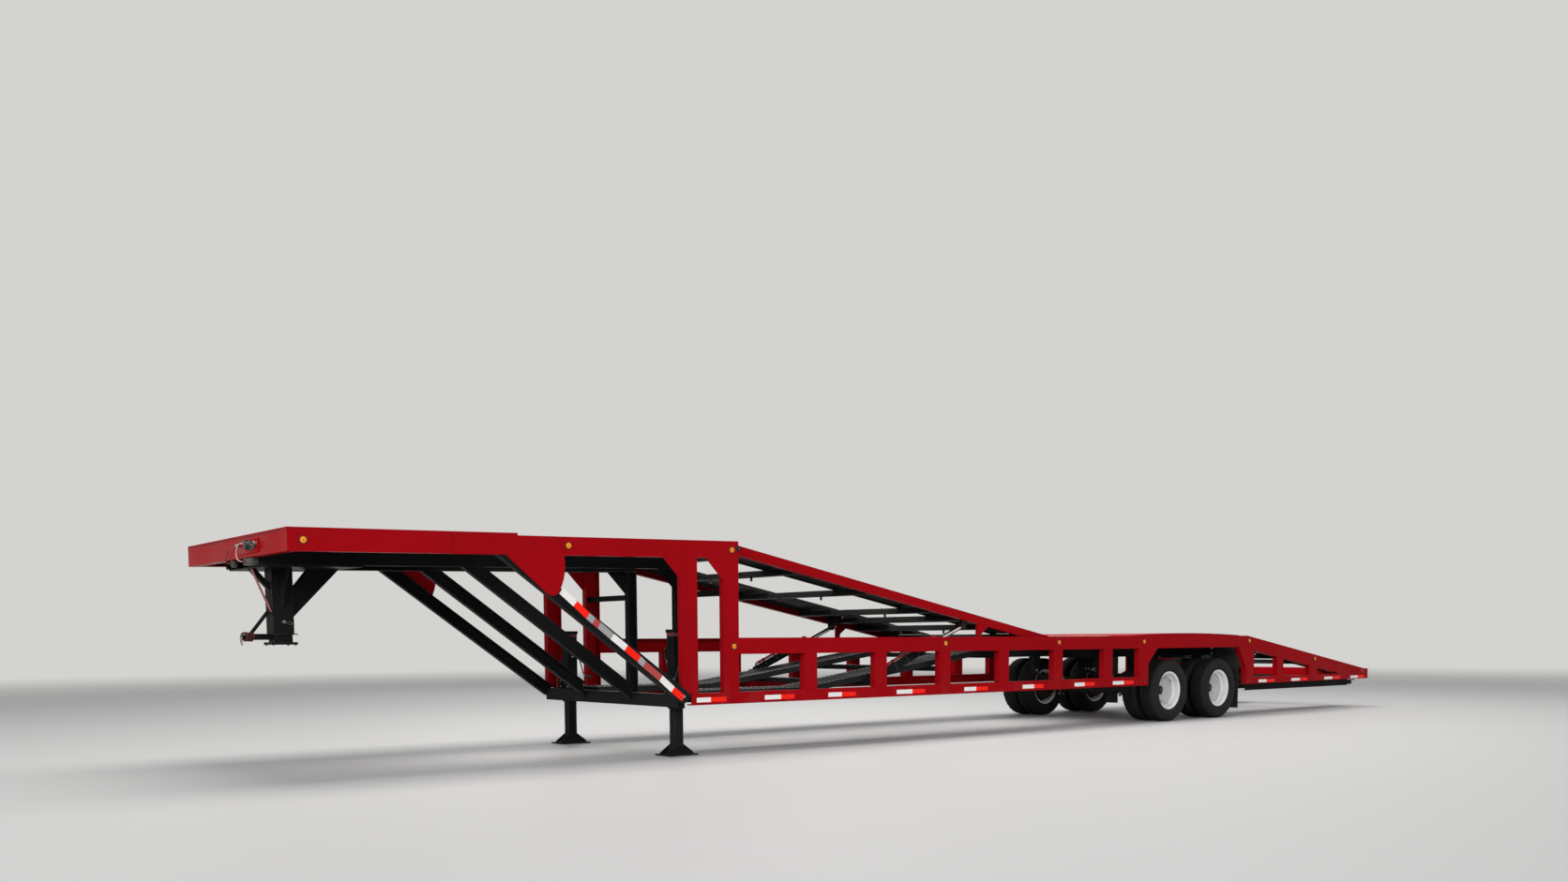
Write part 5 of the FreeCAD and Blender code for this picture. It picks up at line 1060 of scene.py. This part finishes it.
grip_rows("belly_grips", [(3.80, 0.6), (5.2, 0.6), (8.85, 1.1), (10.18, 1.1)])
grip_rows("belly_grips_rear", [(12.73, 1.1), (12.88, 1.1)])

# ------------------------------ landing jacks
# Square drop-leg jacks bolted to the front cross beam: a sleeve with its gearbox, a mottled
# red band under the cap, and a cranked handle folded against the sleeve.
dress(black_enamel, "landing_jacks")
dress(plain("hose_rubber", (0.014, 0.014, 0.014, 1), 0.55, grain=0.0003), "jack_hoses")
JACK_PLACE, JACK_MIDDLE, JACK_HALF = 0.983, 3.6475, 0.0575
band_red = plain("band_red", (0.20, 0.012, 0.014, 1), 0.5, grain=0.0002, variation=0.75)
shape = bmesh.new()
for side in BOTH:
    across = side * JACK_PLACE
    for low, high in (
            ((-JACK_HALF - 0.0015, -JACK_HALF - 0.0015), (-JACK_HALF, JACK_HALF + 0.0015)),
            ((JACK_HALF, -JACK_HALF - 0.0015), (JACK_HALF + 0.0015, JACK_HALF + 0.0015)),
            ((-JACK_HALF - 0.0012, -JACK_HALF - 0.0014), (JACK_HALF + 0.0012, -JACK_HALF)),
            ((-JACK_HALF - 0.0012, JACK_HALF), (JACK_HALF + 0.0012, JACK_HALF + 0.0014))):
        box(shape, (JACK_MIDDLE + low[0], across + low[1], 1.118),
            (JACK_MIDDLE + high[0], across + high[1], 1.149))
piece("jack_bands", shape, band_red)
# a handle: (behind the jack's middle, inwards from its stub, height)
HANDLE = ((0, -0.02, 0.955), (0, 0.004, 0.955), (0.004, 0.012, 0.940), (0.02, 0.012, 0.88),
          (0.055, 0.012, 0.75), (0.066, 0.016, 0.712), (0.068, 0.035, 0.704),
          (0.068, 0.13, 0.702))
handles = [rod_mesh("handle", [
    (JACK_MIDDLE + back, side * (JACK_PLACE - JACK_HALF - 0.106) - side * inward, height)
    for back, inward, height in HANDLE], 0.008, 4) for side in BOTH]
piece("jack_handles", merged("jack_handles", handles), steel_dull)
shape = bmesh.new()
for side in BOTH:
    stub = side * (JACK_PLACE - JACK_HALF - 0.118)
    turned(shape, spot(JACK_MIDDLE + 0.068, stub - side * 0.032, 0.7025), (0, -side, 0), solid(
        (0, 0.014), (0.006, 0.016), (0.045, 0.0145), (0.084, 0.016), (0.09, 0.014)), 18)
piece("jack_grips", shape, grommet_rubber)
beam_bolts = [((3.580, side * (JACK_PLACE + aside), height), AHEAD)
              for side in BOTH for aside in (-0.074, 0.074) for height in (0.60, 0.66, 0.72)]
gear_bolts = [((JACK_MIDDLE + ahead, side * (JACK_PLACE - JACK_HALF - 0.059), 0.955 + up),
               (0, -side, 0)) for side in BOTH
              for ahead in (-0.032, 0.032) for up in (-0.044, 0.044)]
bolts("jack_bolts", 0.011, beam_bolts + gear_bolts)
beads("jack_beads", [[(JACK_MIDDLE + ahead * 0.046, side * JACK_PLACE + half, 0.0165)
                      for half in (-0.046, 0.046)] for side in BOTH for ahead in BOTH],
      "black_paint", black_enamel)

# ------------------------------ axle deck and chassis
# A crowned tread plate lies over the wheels, and two box beams under it carry the spring
# hangers, which are pinned with bolts through the spring ends.
dress(tread_plate("deck_tread_plate", RED, RUBBED_RED), "axle_deck")
dress(black_enamel, "chassis_beams")
AXLES = {"front": 11.156, "rear": 12.281}
HUB_HEIGHT, SPRING_PLACE, SPRING_HALF, SPRING_REACH = 0.400, 0.550, 0.035, 0.53
bolts("hanger_bolts", 0.018, [
    ((station + end, side * (SPRING_PLACE + out * 0.0385), 0.645), (0, side * out, 0))
    for side in BOTH for out in BOTH for station in AXLES.values()
    for end in (-SPRING_REACH, SPRING_REACH)])

# ------------------------------ axles and springs
# Round axle tubes under leaf springs; U-bolts clamp the leaves between a saddle and a plate,
# and thin clips keep the shorter leaves in line.
axle_black = enamel("axle_black", (0.012, 0.012, 0.012, 1), (0.03, 0.028, 0.026, 1),
                    (0.14, 0.11, 0.09, 1), (0.45, 0.7), 0.9, worn=((0.10, 0.06, 0.04, 1), 0.7))
dress(axle_black, "axles", "leaf_springs")
LEG_PLACE = SPRING_HALF + 0.010
CLAMP_PLACE = 0.23                                # from the axle
# a U-bolt's route: (part of the legs' distance across, height)
UBOLT = ((-1, 0.300), (-1, 0.50), (-1, 0.5440), (-0.6, 0.5500), (0.6, 0.5500), (1, 0.5440),
         (1, 0.50), (1, 0.300))
# (half length, across from, across to, base, top, rounding) about a spring's middle
SADDLES = ((0.062, -0.058, 0.058, 0.318, 0.334, 0.003),
           (0.056, -0.034, 0.034, 0.5262, 0.541, 0.003))
CLAMP = ((0.012, -SPRING_HALF - 0.004, -SPRING_HALF + 0.0003, 0.488, 0.5435, 0.001),
         (0.012, SPRING_HALF - 0.0003, SPRING_HALF + 0.004, 0.488, 0.5435, 0.001),
         (0.011, -SPRING_HALF - 0.0035, SPRING_HALF + 0.0035, 0.5400, 0.5450, 0.001))
ubolts, ubolt_nuts, shape = [], [], bmesh.new()
for station in AXLES.values():
    for side in BOTH:
        middle = side * SPRING_PLACE
        for ahead in (-0.040, 0.040):
            ubolts.append(rod_mesh("ubolt", [
                (station + ahead, middle + part * LEG_PLACE, height)
                for part, height in UBOLT], 0.008, 2))
            ubolt_nuts += [((station + ahead, middle + aside * LEG_PLACE, 0.318), DOWN)
                           for aside in BOTH]
        for ahead, parts in ((0, SADDLES), (-CLAMP_PLACE, CLAMP), (CLAMP_PLACE, CLAMP)):
            for half, inner, outer, base, top, rounding in parts:
                box(shape, (station + ahead - half, middle + inner, base),
                    (station + ahead + half, middle + outer, top), rounding)
piece("spring_clamps", shape, axle_black)
piece("ubolts", merged("ubolts", ubolts), steel_dull)
nut = lathed("nut", (solid((0, 0.0145), (0.012, 0.0145), (0.014, 0.0125)), 6))
set_shapes("ubolt_nuts", nut, ubolt_nuts, "axle_steel", steel_dull, math.tau)

# ------------------------------ tyres
# Twin road tyres: five ribs with fine sipes, notched shoulders, and sidewalls with a bead
# ridge and shallow rings.  They are moulded black rubber, grey with dust.
rubber, tree, shader = blank_material("tyre_rubber")
dusty = ramp(tree, noise(tree, 6, 7, rough=0.7), 0.42, 0.8, 0, 0.4)
feed(tree, shader, colour=blend(tree, dusty, (0.0085, 0.0083, 0.008, 1),
                                (0.035, 0.030, 0.026, 1)),
     rough=ramp(tree, noise(tree, 12, 5), 0.3, 0.7, 0.6, 0.85), specular=0.18)
bump(tree, shader, noise(tree, 420, 2), 0.00015)

TYRE_RADIUS, DUAL_PLACE, DUAL_HALF_GAP = 0.400, 1.018, 0.135
GROOVES = (0.0185, 0.0545)                        # middles, from the tyre's middle
GROOVE_HALF, GROOVE_DEEP = 0.0052, 0.012
TREAD_HALF, CROWN_DROP = 0.083, 0.003
TYRE_STEPS, SIPE_EVERY, NOTCH_EVERY = 192, 3, 6
SIPE_DEEP, NOTCH_DEEP = 0.0022, 0.0055
SHOULDER = ((0.066, 0.3981, "rib"), (0.076, 0.3970, "block"), (0.0845, 0.3940, "block"),
            (0.0920, 0.3880, "block"), (0.0985, 0.3790, "block"), (0.1040, 0.3690, "side"))
# from the shoulder to the bead: (distance out, radius)
SIDEWALL = ((0.1075, 0.3600), (0.1105, 0.3480), (0.1115, 0.3465), (0.1140, 0.3350),
            (0.1160, 0.3230), (0.1172, 0.3225), (0.1176, 0.3100), (0.1172, 0.2990),
            (0.1160, 0.2985), (0.1145, 0.2880), (0.1110, 0.2740), (0.1090, 0.2730),
            (0.1085, 0.2690), (0.1120, 0.2670), (0.1118, 0.2620), (0.1050, 0.2590),
            (0.0985, 0.2530), (0.0930, 0.2475), (0.0850, 0.2450), (0.0760, 0.2380),
            (0.0730, 0.2300))


def tyre_half():
    """Half of a tyre's section, from its middle: (distance out, radius, kind of place)."""
    rows = [(0.0, TYRE_RADIUS, "rib")]
    for middle in GROOVES:
        crown = TYRE_RADIUS - CROWN_DROP * (middle / TREAD_HALF) ** 2
        rows += [(middle - GROOVE_HALF - 0.0002, crown, "rib"),
                 (middle - GROOVE_HALF * 0.6, crown - GROOVE_DEEP, "groove"),
                 (middle + GROOVE_HALF * 0.6, crown - GROOVE_DEEP, "groove"),
                 (middle + GROOVE_HALF + 0.0002, crown, "rib")]
    return rows + list(SHOULDER) + [(out, radius, "side") for out, radius in SIDEWALL]


def tyre(shape, station, across):
    """Adds one tyre about its axle."""
    outer = tyre_half()
    rows = [(-out, radius, kind) for out, radius, kind in reversed(outer)] + outer[1:]
    rings = []
    for step in range(TYRE_STEPS):
        angle = math.tau * step / TYRE_STEPS
        sunk = {"rib": SIPE_DEEP if step % SIPE_EVERY == 0 else 0,
                "block": NOTCH_DEEP if step % NOTCH_EVERY < 2 else 0}
        rings.append([shape.verts.new(spot(
            station + math.cos(angle) * (radius - sunk.get(kind, 0)), across + out,
            HUB_HEIGHT + math.sin(angle) * (radius - sunk.get(kind, 0))))
            for out, radius, kind in rows])
    for step, here in enumerate(rings):
        after = rings[(step + 1) % TYRE_STEPS]
        for k in range(len(rows) - 1):
            shape.faces.new((here[k], here[k + 1], after[k + 1], after[k]))
        shape.faces.new((here[-1], here[0], after[0], after[-1]))


for end, station in AXLES.items():
    for side_name, side in SIDES.items():
        where = f"{end}_{side_name}"
        shape = bmesh.new()
        for gap in (-DUAL_HALF_GAP, DUAL_HALF_GAP):
            tyre(shape, station, side * (DUAL_PLACE + gap))
        mesh = mesh_of(f"tyre_pair_{where}", shape, 38)
        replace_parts(piece(f"tyre_pair_{where}", mesh, rubber, f"wheels_{where}"),
                    f"tyres_{where}")

# ------------------------------ wheels
# Dished steel discs welded in drop-centre rims, white, on black hubs; the drum behind them
# is bare cast iron.  The dish is painted a darker grey as painted shade, and all that lies inboard
# near the hub is painted dark brown: the drum's iron, and painted shade on the inner disc seen
# through the hand holes.  Eight painted nuts hold each pair, and a cap closes the hub.  The forms
# are the frame's own; only their finish and the small fittings are made here.
def wheel_paint(name, station):
    """White enamel on the rims with the dish a darker grey as painted shade, black on the hub, and
    dark brown inboard near the hub: the drum's iron and painted shade on the inner disc.
    """
    material = enamel(name, (0.76, 0.76, 0.755, 1), (0.70, 0.70, 0.69, 1), (0.24, 0.20, 0.17, 1),
                      (0.3, 0.5), 0.9)
    tree, shader, body = opened(material)
    place = mapped(tree, Location=(-along(station), 0, -HUB_HEIGHT))
    across_of = sums(tree, "ABSOLUTE", along_axis(tree, "Y", place))
    radius = vectors(tree, "LENGTH", vectors(tree, "MULTIPLY", place, (1, 0, 1)))
    grime = times(tree, ramp(tree, noise(tree, 9, 6, rough=0.7), 0.45, 0.75, 0, 0.4),
                  ramp(tree, radius, 0.13, 0.235, 0.25, 1))
    # dark brown inboard of the outer disc near the hub: the drum's bare iron, and painted shade on
    # the inner wheel's disc seen through the hand holes
    drum_and_hole_shade = times(tree, ramp(tree, across_of, 1.0165, 1.0155), ramp(tree, radius, 0.205, 0.204))
    # the dish inside the rim is painted a darker grey: painted shade
    body = blend(tree, ramp(tree, radius, 0.165, 0.205), (0.50, 0.505, 0.50, 1), body)
    body = blend(tree, grime, body, (0.30, 0.26, 0.22, 1))
    body = blend(tree, drum_and_hole_shade, body, (0.030, 0.020, 0.015, 1))
    body = blend(tree, ramp(tree, radius, 0.0590, 0.0582), body, (0.016, 0.016, 0.016, 1))
    feed(tree, shader, colour=body)
    return material


def about_hub(station, side, out, radius, angle):
    """A place round a hub, a distance outward from the wheels' mounting plane."""
    return (station + radius * math.cos(angle), side * (DUAL_PLACE + out),
            HUB_HEIGHT + radius * math.sin(angle))


def round_hub(count, station, side, out, radius):
    """Evenly spaced places round a hub, facing outward."""
    return [(about_hub(station, side, out, radius, math.tau * (i + 0.5) / count), OUT[side])
            for i in range(count)]


hub_black = plain("hub_black", (0.016, 0.016, 0.016, 1), 0.4, grain=0.0002)
white_nut = plain("painted_nut", (0.55, 0.55, 0.54, 1), 0.45, grain=0.0002)
brass = plain("valve_brass", (0.20, 0.16, 0.10, 1), 0.45, metal=1)
VALVE_RADIUS, VALVE_ANGLES = 0.196, {"front": 38, "rear": 205}
wheel_nut = lathed(
    "wheel_nut", (solid((0, 0.0135), (0.002, 0.0135), (0.003, 0.0120), (0.015, 0.0120),
                        (0.0175, 0.0103)), 6),
    (solid((0.015, 0.0075), (0.023, 0.007), (0.024, 0.0058)), 12))
for end, station in AXLES.items():
    finish = wheel_paint(f"wheel_paint_{end}", station)
    for side_name, side in SIDES.items():
        where = f"{end}_{side_name}"
        body = f"wheels_{where}"
        dress(finish, body)
        set_shapes(f"wheel_nuts_{where}", wheel_nut, round_hub(8, station, side, 0.012, 0.1375),
                   "white_wheel", white_nut, math.tau, body)
        bolts(f"hub_bolts_{where}", 0.0045, round_hub(6, station, side, 0.0400, 0.0640),
              "axle_steel", body)
        shape = bmesh.new()
        turned(shape, spot(station, side * (DUAL_PLACE + 0.0935), HUB_HEIGHT), OUT[side], solid(
            (0, 0.030), (0.004, 0.030), (0.006, 0.026), (0.004, 0.014), (0.006, 0.012),
            (0.009, 0.010)), 28)
        piece(f"hub_cap_{where}", shape, hub_black, body)
        shape = bmesh.new()
        angle = math.radians(VALVE_ANGLES[end])
        lean = Vector((-0.35 * math.cos(angle), side * 0.94, -0.35 * math.sin(angle)))
        turned(shape, spot(*about_hub(station, side, 0.120, VALVE_RADIUS, angle)), lean, solid(
            (0, 0.0065), (0.008, 0.0065), (0.010, 0.0042), (0.030, 0.0042), (0.031, 0.0052),
            (0.044, 0.0052), (0.046, 0.004)), 14)
        piece(f"valve_{where}", shape, brass, body)

# ------------------------------ lift ramp
# Red rails and black cross members carry two runways; the whole ramp swings on the hinge
# shaft.  Small tabs hang under the members, for lashings.
dress(red_enamel, "ramp_rail_left", "ramp_rail_right")
dress(black_enamel, "ramp_hinge_shaft")
under_black = enamel("scuffed_black", (0.011, 0.011, 0.012, 1), (0.024, 0.022, 0.020, 1),
                     (0.10, 0.07, 0.05, 1), (0.3, 0.5), 2.5, worn=((0.30, 0.27, 0.25, 1), 0.9))
dress(under_black, "ramp_cross_members")
RAMP_MEMBERS = (4.330, 5.052, 6.005, 6.958, 7.911, 8.500)
RAMP_RAIL_INNER = 1.1455


def ramp_top(station):
    """Height of the ramp's top."""
    return 1.974 - 0.19 * (station - 4.204)


grip_rows("ramp_grips", below(ramp_top, 0, 4.24, 8.56),
          (0.560 + STUD_INSET, 1.145 - STUD_INSET), "lift_ramp")
shape = bmesh.new()
for station in RAMP_MEMBERS[1:5]:
    low = ramp_top(station) - 0.030 - 0.060
    for across in (-0.36, 0.36):
        box(shape, (station - 0.021, across - 0.018, low - 0.040),
            (station - 0.015, across + 0.018, low + 0.006), 0.0015)
        turned(shape, spot(station - 0.0245, across, low - 0.022), BEHIND,
               ring((0, 0.006), (0, 0.011), (0.013, 0.011), (0.013, 0.006)), 14)
piece("lashing_tabs", shape, under_black, "lift_ramp")
beads("ramp_beads", [[(station, side * RAMP_RAIL_INNER, ramp_top(station) - drop)
                      for drop in (0.034, 0.086)] for side in BOTH for station in RAMP_MEMBERS],
      "black_paint", under_black, body="lift_ramp")

# ------------------------------ lift cylinders
# Black hydraulic barrels with screwed glands and chromed rods; a red feed pipe in clips and a
# ribbed guard runs along the top of each barrel from the base to the gland.
CYLINDER_PLACE, BASE_PIN, EYE_PIN = 1.108, Vector((6.160, 0, 0.700)), Vector((7.420, 0, 1.226))
rod_way = EYE_PIN - BASE_PIN
rod_span = rod_way.length
rod_way.normalize()
square_up = Vector((-rod_way.z, 0, rod_way.x))

chrome, tree, shader = blank_material("rod_chrome")
reach = vectors(tree, "DOT_PRODUCT", mapped(
    tree, Location=(-along(BASE_PIN.x), 0, -BASE_PIN.z)), tuple(rod_way))
eye_paint = ramp(tree, reach, rod_span - 0.0545, rod_span - 0.0535)
smear = ramp(tree, noise(tree, 20, 5, rough=0.7), 0.5, 0.75, 0, 0.5)
metal_body = blend(tree, smear, (0.80, 0.80, 0.81, 1), (0.60, 0.59, 0.58, 1))
feed(tree, shader, colour=blend(tree, eye_paint, metal_body, (0.012, 0.012, 0.012, 1)),
     metal=ramp(tree, eye_paint, 0, 1, 1, 0), rough=ramp(tree, eye_paint, 0, 1, 0.14, 0.45))
bump(tree, shader, noise(tree, 300, 2), 0.00001)
dress(chrome, "lift_rod_left", "lift_rod_right")
dress(black_enamel, "lift_cylinder_left", "lift_cylinder_right")
pipe_red = plain("feed_pipe_red", (0.34, 0.012, 0.014, 1), 0.4, grain=0.0004, grain_scale=60)
PIPE_LIFT = 0.0645


def on_cylinder(side, out, lift):
    """A (station, across, height) place a distance up a cylinder and square off its axis."""
    at = Vector((BASE_PIN.x, side * CYLINDER_PLACE, BASE_PIN.z)) + rod_way * out
    return tuple(at + square_up * lift)


# from the base: (distance up the cylinder, distance off its axis)
FEED_PIPE = ((0.095, 0.050), (0.096, 0.066), (0.118, 0.0665), (0.16, PIPE_LIFT),
             (0.50, PIPE_LIFT), (0.86, PIPE_LIFT), (0.925, 0.0640), (0.940, 0.052),
             (0.915, 0.0495), (0.886, 0.0495))
for side_name, side in SIDES.items():
    body = f"lift_cylinder_{side_name}"
    shape = bmesh.new()
    turned(shape, spot(*on_cylinder(side, 0.826, 0)), rod_way, ring(
        (0, 0.0461), (0, 0.0500), (0.004, 0.0515), (0.050, 0.0515), (0.054, 0.0500),
        (0.054, 0.0461)), 40)
    turned(shape, spot(*on_cylinder(side, 0.8802, 0)), rod_way, ring(
        (0, 0.0266), (0, 0.040), (0.005, 0.039), (0.007, 0.031), (0.0075, 0.0266)), 40)
    piece(f"gland_{side_name}", shape, steel_dull, body)
    shape = bmesh.new()
    for out in (0.095, 0.80):
        turned(shape, spot(*on_cylinder(side, out, 0.041)), square_up, solid(
            (0, 0.013), (0.010, 0.013), (0.010, 0.011), (0.020, 0.011)), 6)
    for out in (0.22, 0.40, 0.58, 0.74):
        turned(shape, spot(*on_cylinder(side, out - 0.006, 0)), rod_way, ring(
            (0, 0.0432), (0, 0.0450), (0.012, 0.0450), (0.012, 0.0432)), 32)
        turned(shape, spot(*on_cylinder(side, out - 0.007, PIPE_LIFT)), rod_way, ring(
            (0, 0.0175), (0, 0.0200), (0.014, 0.0200), (0.014, 0.0175)), 18)
    piece(f"pipe_clips_{side_name}", shape, hub_black, body)
    pipe = rod_mesh("feed_pipe", [on_cylinder(side, *at) for at in FEED_PIPE], 0.0085, 4)
    piece(f"feed_pipe_{side_name}", pipe, pipe_red, body)
    beads(f"pipe_guard_{side_name}", [[on_cylinder(side, out, PIPE_LIFT)
                                       for out in (0.125, 0.905)]],
          "red_paint", pipe_red, 0.0165, 0.011, body)

# ------------------------------ tail
# The sloping tail's red rails end in a rear beam with the lamps; under it the two loading
# ramps lie in their guides.
dress(red_enamel, "tail_frame_left", "tail_frame_right")
dress(black_enamel, "ramp_guides")
tail_paint = enamel("tail_member_paint", (0.011, 0.011, 0.012, 1), (0.020, 0.020, 0.021, 1),
                    gloss=(0.28, 0.5), worn=((0.13, 0.12, 0.11, 1), 0.6))
tree, shader, black_body = opened(tail_paint)
rear_beam = ramp(tree, along_axis(tree, "X"), along(16.174), along(16.176))
feed(tree, shader, colour=blend(tree, rear_beam, black_body, RED))
dress(tail_paint, "tail_cross_members")
TAIL_DEPTH, TAIL_RAIL_TOP = 0.178, 0.530


def tail_top(station):
    """Height of the tail's top."""
    return 1.100 - (1.100 - 0.592) / (16.180 - 12.900) * (station - 12.900)


grip_rows("tail_grips", below(tail_top, 0, 12.94, 16.15))
flush_beads("tail_beads", [
    seam(13.674, 13.839, TAIL_RAIL_TOP), seam(14.557, 14.722, TAIL_RAIL_TOP),
    below(tail_top, TAIL_DEPTH, 13.674, 13.839), below(tail_top, TAIL_DEPTH, 14.557, 14.722)])

loader_paint = enamel("loader_black", (0.012, 0.012, 0.013, 1), (0.026, 0.025, 0.024, 1),
                      (0.14, 0.12, 0.10, 1), (0.35, 0.55), 0.9, worn=((0.36, 0.33, 0.30, 1), 0.9))
dress(loader_paint, "loading_ramp_left", "loading_ramp_right")
HOOK_PLACE = 1.078
HOOK = ((16.205, 0.452), (16.205, 0.428), (16.222, 0.417), (16.246, 0.421), (16.262, 0.404))
piece("latch_hooks", merged("latch_hooks", [
    rod_mesh("hook", route, 0.0075) for route in on_sides([HOOK], HOOK_PLACE)]),
    hub_black)

# ------------------------------ rear lamps
# Round red stop and tail lamps in the rear beam, three small ones at its middle, and an amber
# side lamp on each tail rail, all in rubber grommets.
REAR_LAMP_HEIGHT = 0.516
stop_places = [((REAR_FACE, side * across, REAR_LAMP_HEIGHT), BEHIND)
               for side in BOTH for across in (1.120, 0.980)]
small_places = [((REAR_FACE, across, REAR_LAMP_HEIGHT), BEHIND) for across in (-0.165, 0, 0.165)]
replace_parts(lamps("stop", "stop_middles", stop_places, (0.0535, 0.0445, 0.0045, 0.0070),
                  RED_GLASS, "red_lens"), "tail_lights")
lamps("small_tail", "small_tail_middles", small_places, (0.0228, 0.0165, 0.0040, 0.0068),
      RED_GLASS, "red_lens")
lamps("side_tail", "side_tail_middles", on_rails([(14.700, 0.760)]), SIDE_LAMP, AMBER,
      "amber_lens")

# ------------------------------ mud flaps
# Black rubber sheets behind the wheels, clamped at the top by a bolted steel strip.
flap_rubber, tree, shader = blank_material("flap_rubber")
splash = times(tree, ramp(tree, along_axis(tree, "Z"), 0.6, 0.1),
               ramp(tree, noise(tree, 8, 7, (1, 1, 0.4), 0.7), 0.4, 0.75, 0, 0.5))
feed(tree, shader, colour=blend(tree, splash, (0.011, 0.011, 0.011, 1),
                                (0.09, 0.075, 0.062, 1)), rough=0.6)
ribs = add(tree, "ShaderNodeTexWave", {"Vector": place_of(tree), "Scale": 22},
           bands_direction="Y").outputs["Fac"]
bump(tree, shader, ribs, 0.0008)
dress(flap_rubber, "mud_flaps")
FLAP_FACE, STRIP_FACE, FLAP_MIDDLE, STRIP_HALF = 12.8205, 12.8245, 0.9975, 0.205
shape = bmesh.new()
for side in BOTH:
    box(shape, (FLAP_FACE, side * FLAP_MIDDLE - STRIP_HALF, 0.900),
        (STRIP_FACE, side * FLAP_MIDDLE + STRIP_HALF, 0.940), 0.001)
piece("flap_strips", shape, steel_dull)
bolts("flap_bolts", 0.008, [((STRIP_FACE, side * FLAP_MIDDLE + across, 0.920), BEHIND)
                            for side in BOTH for across in (-0.18, -0.09, 0, 0.09, 0.18)],
      "axle_steel")

# ------------------------------ finish
low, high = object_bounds()
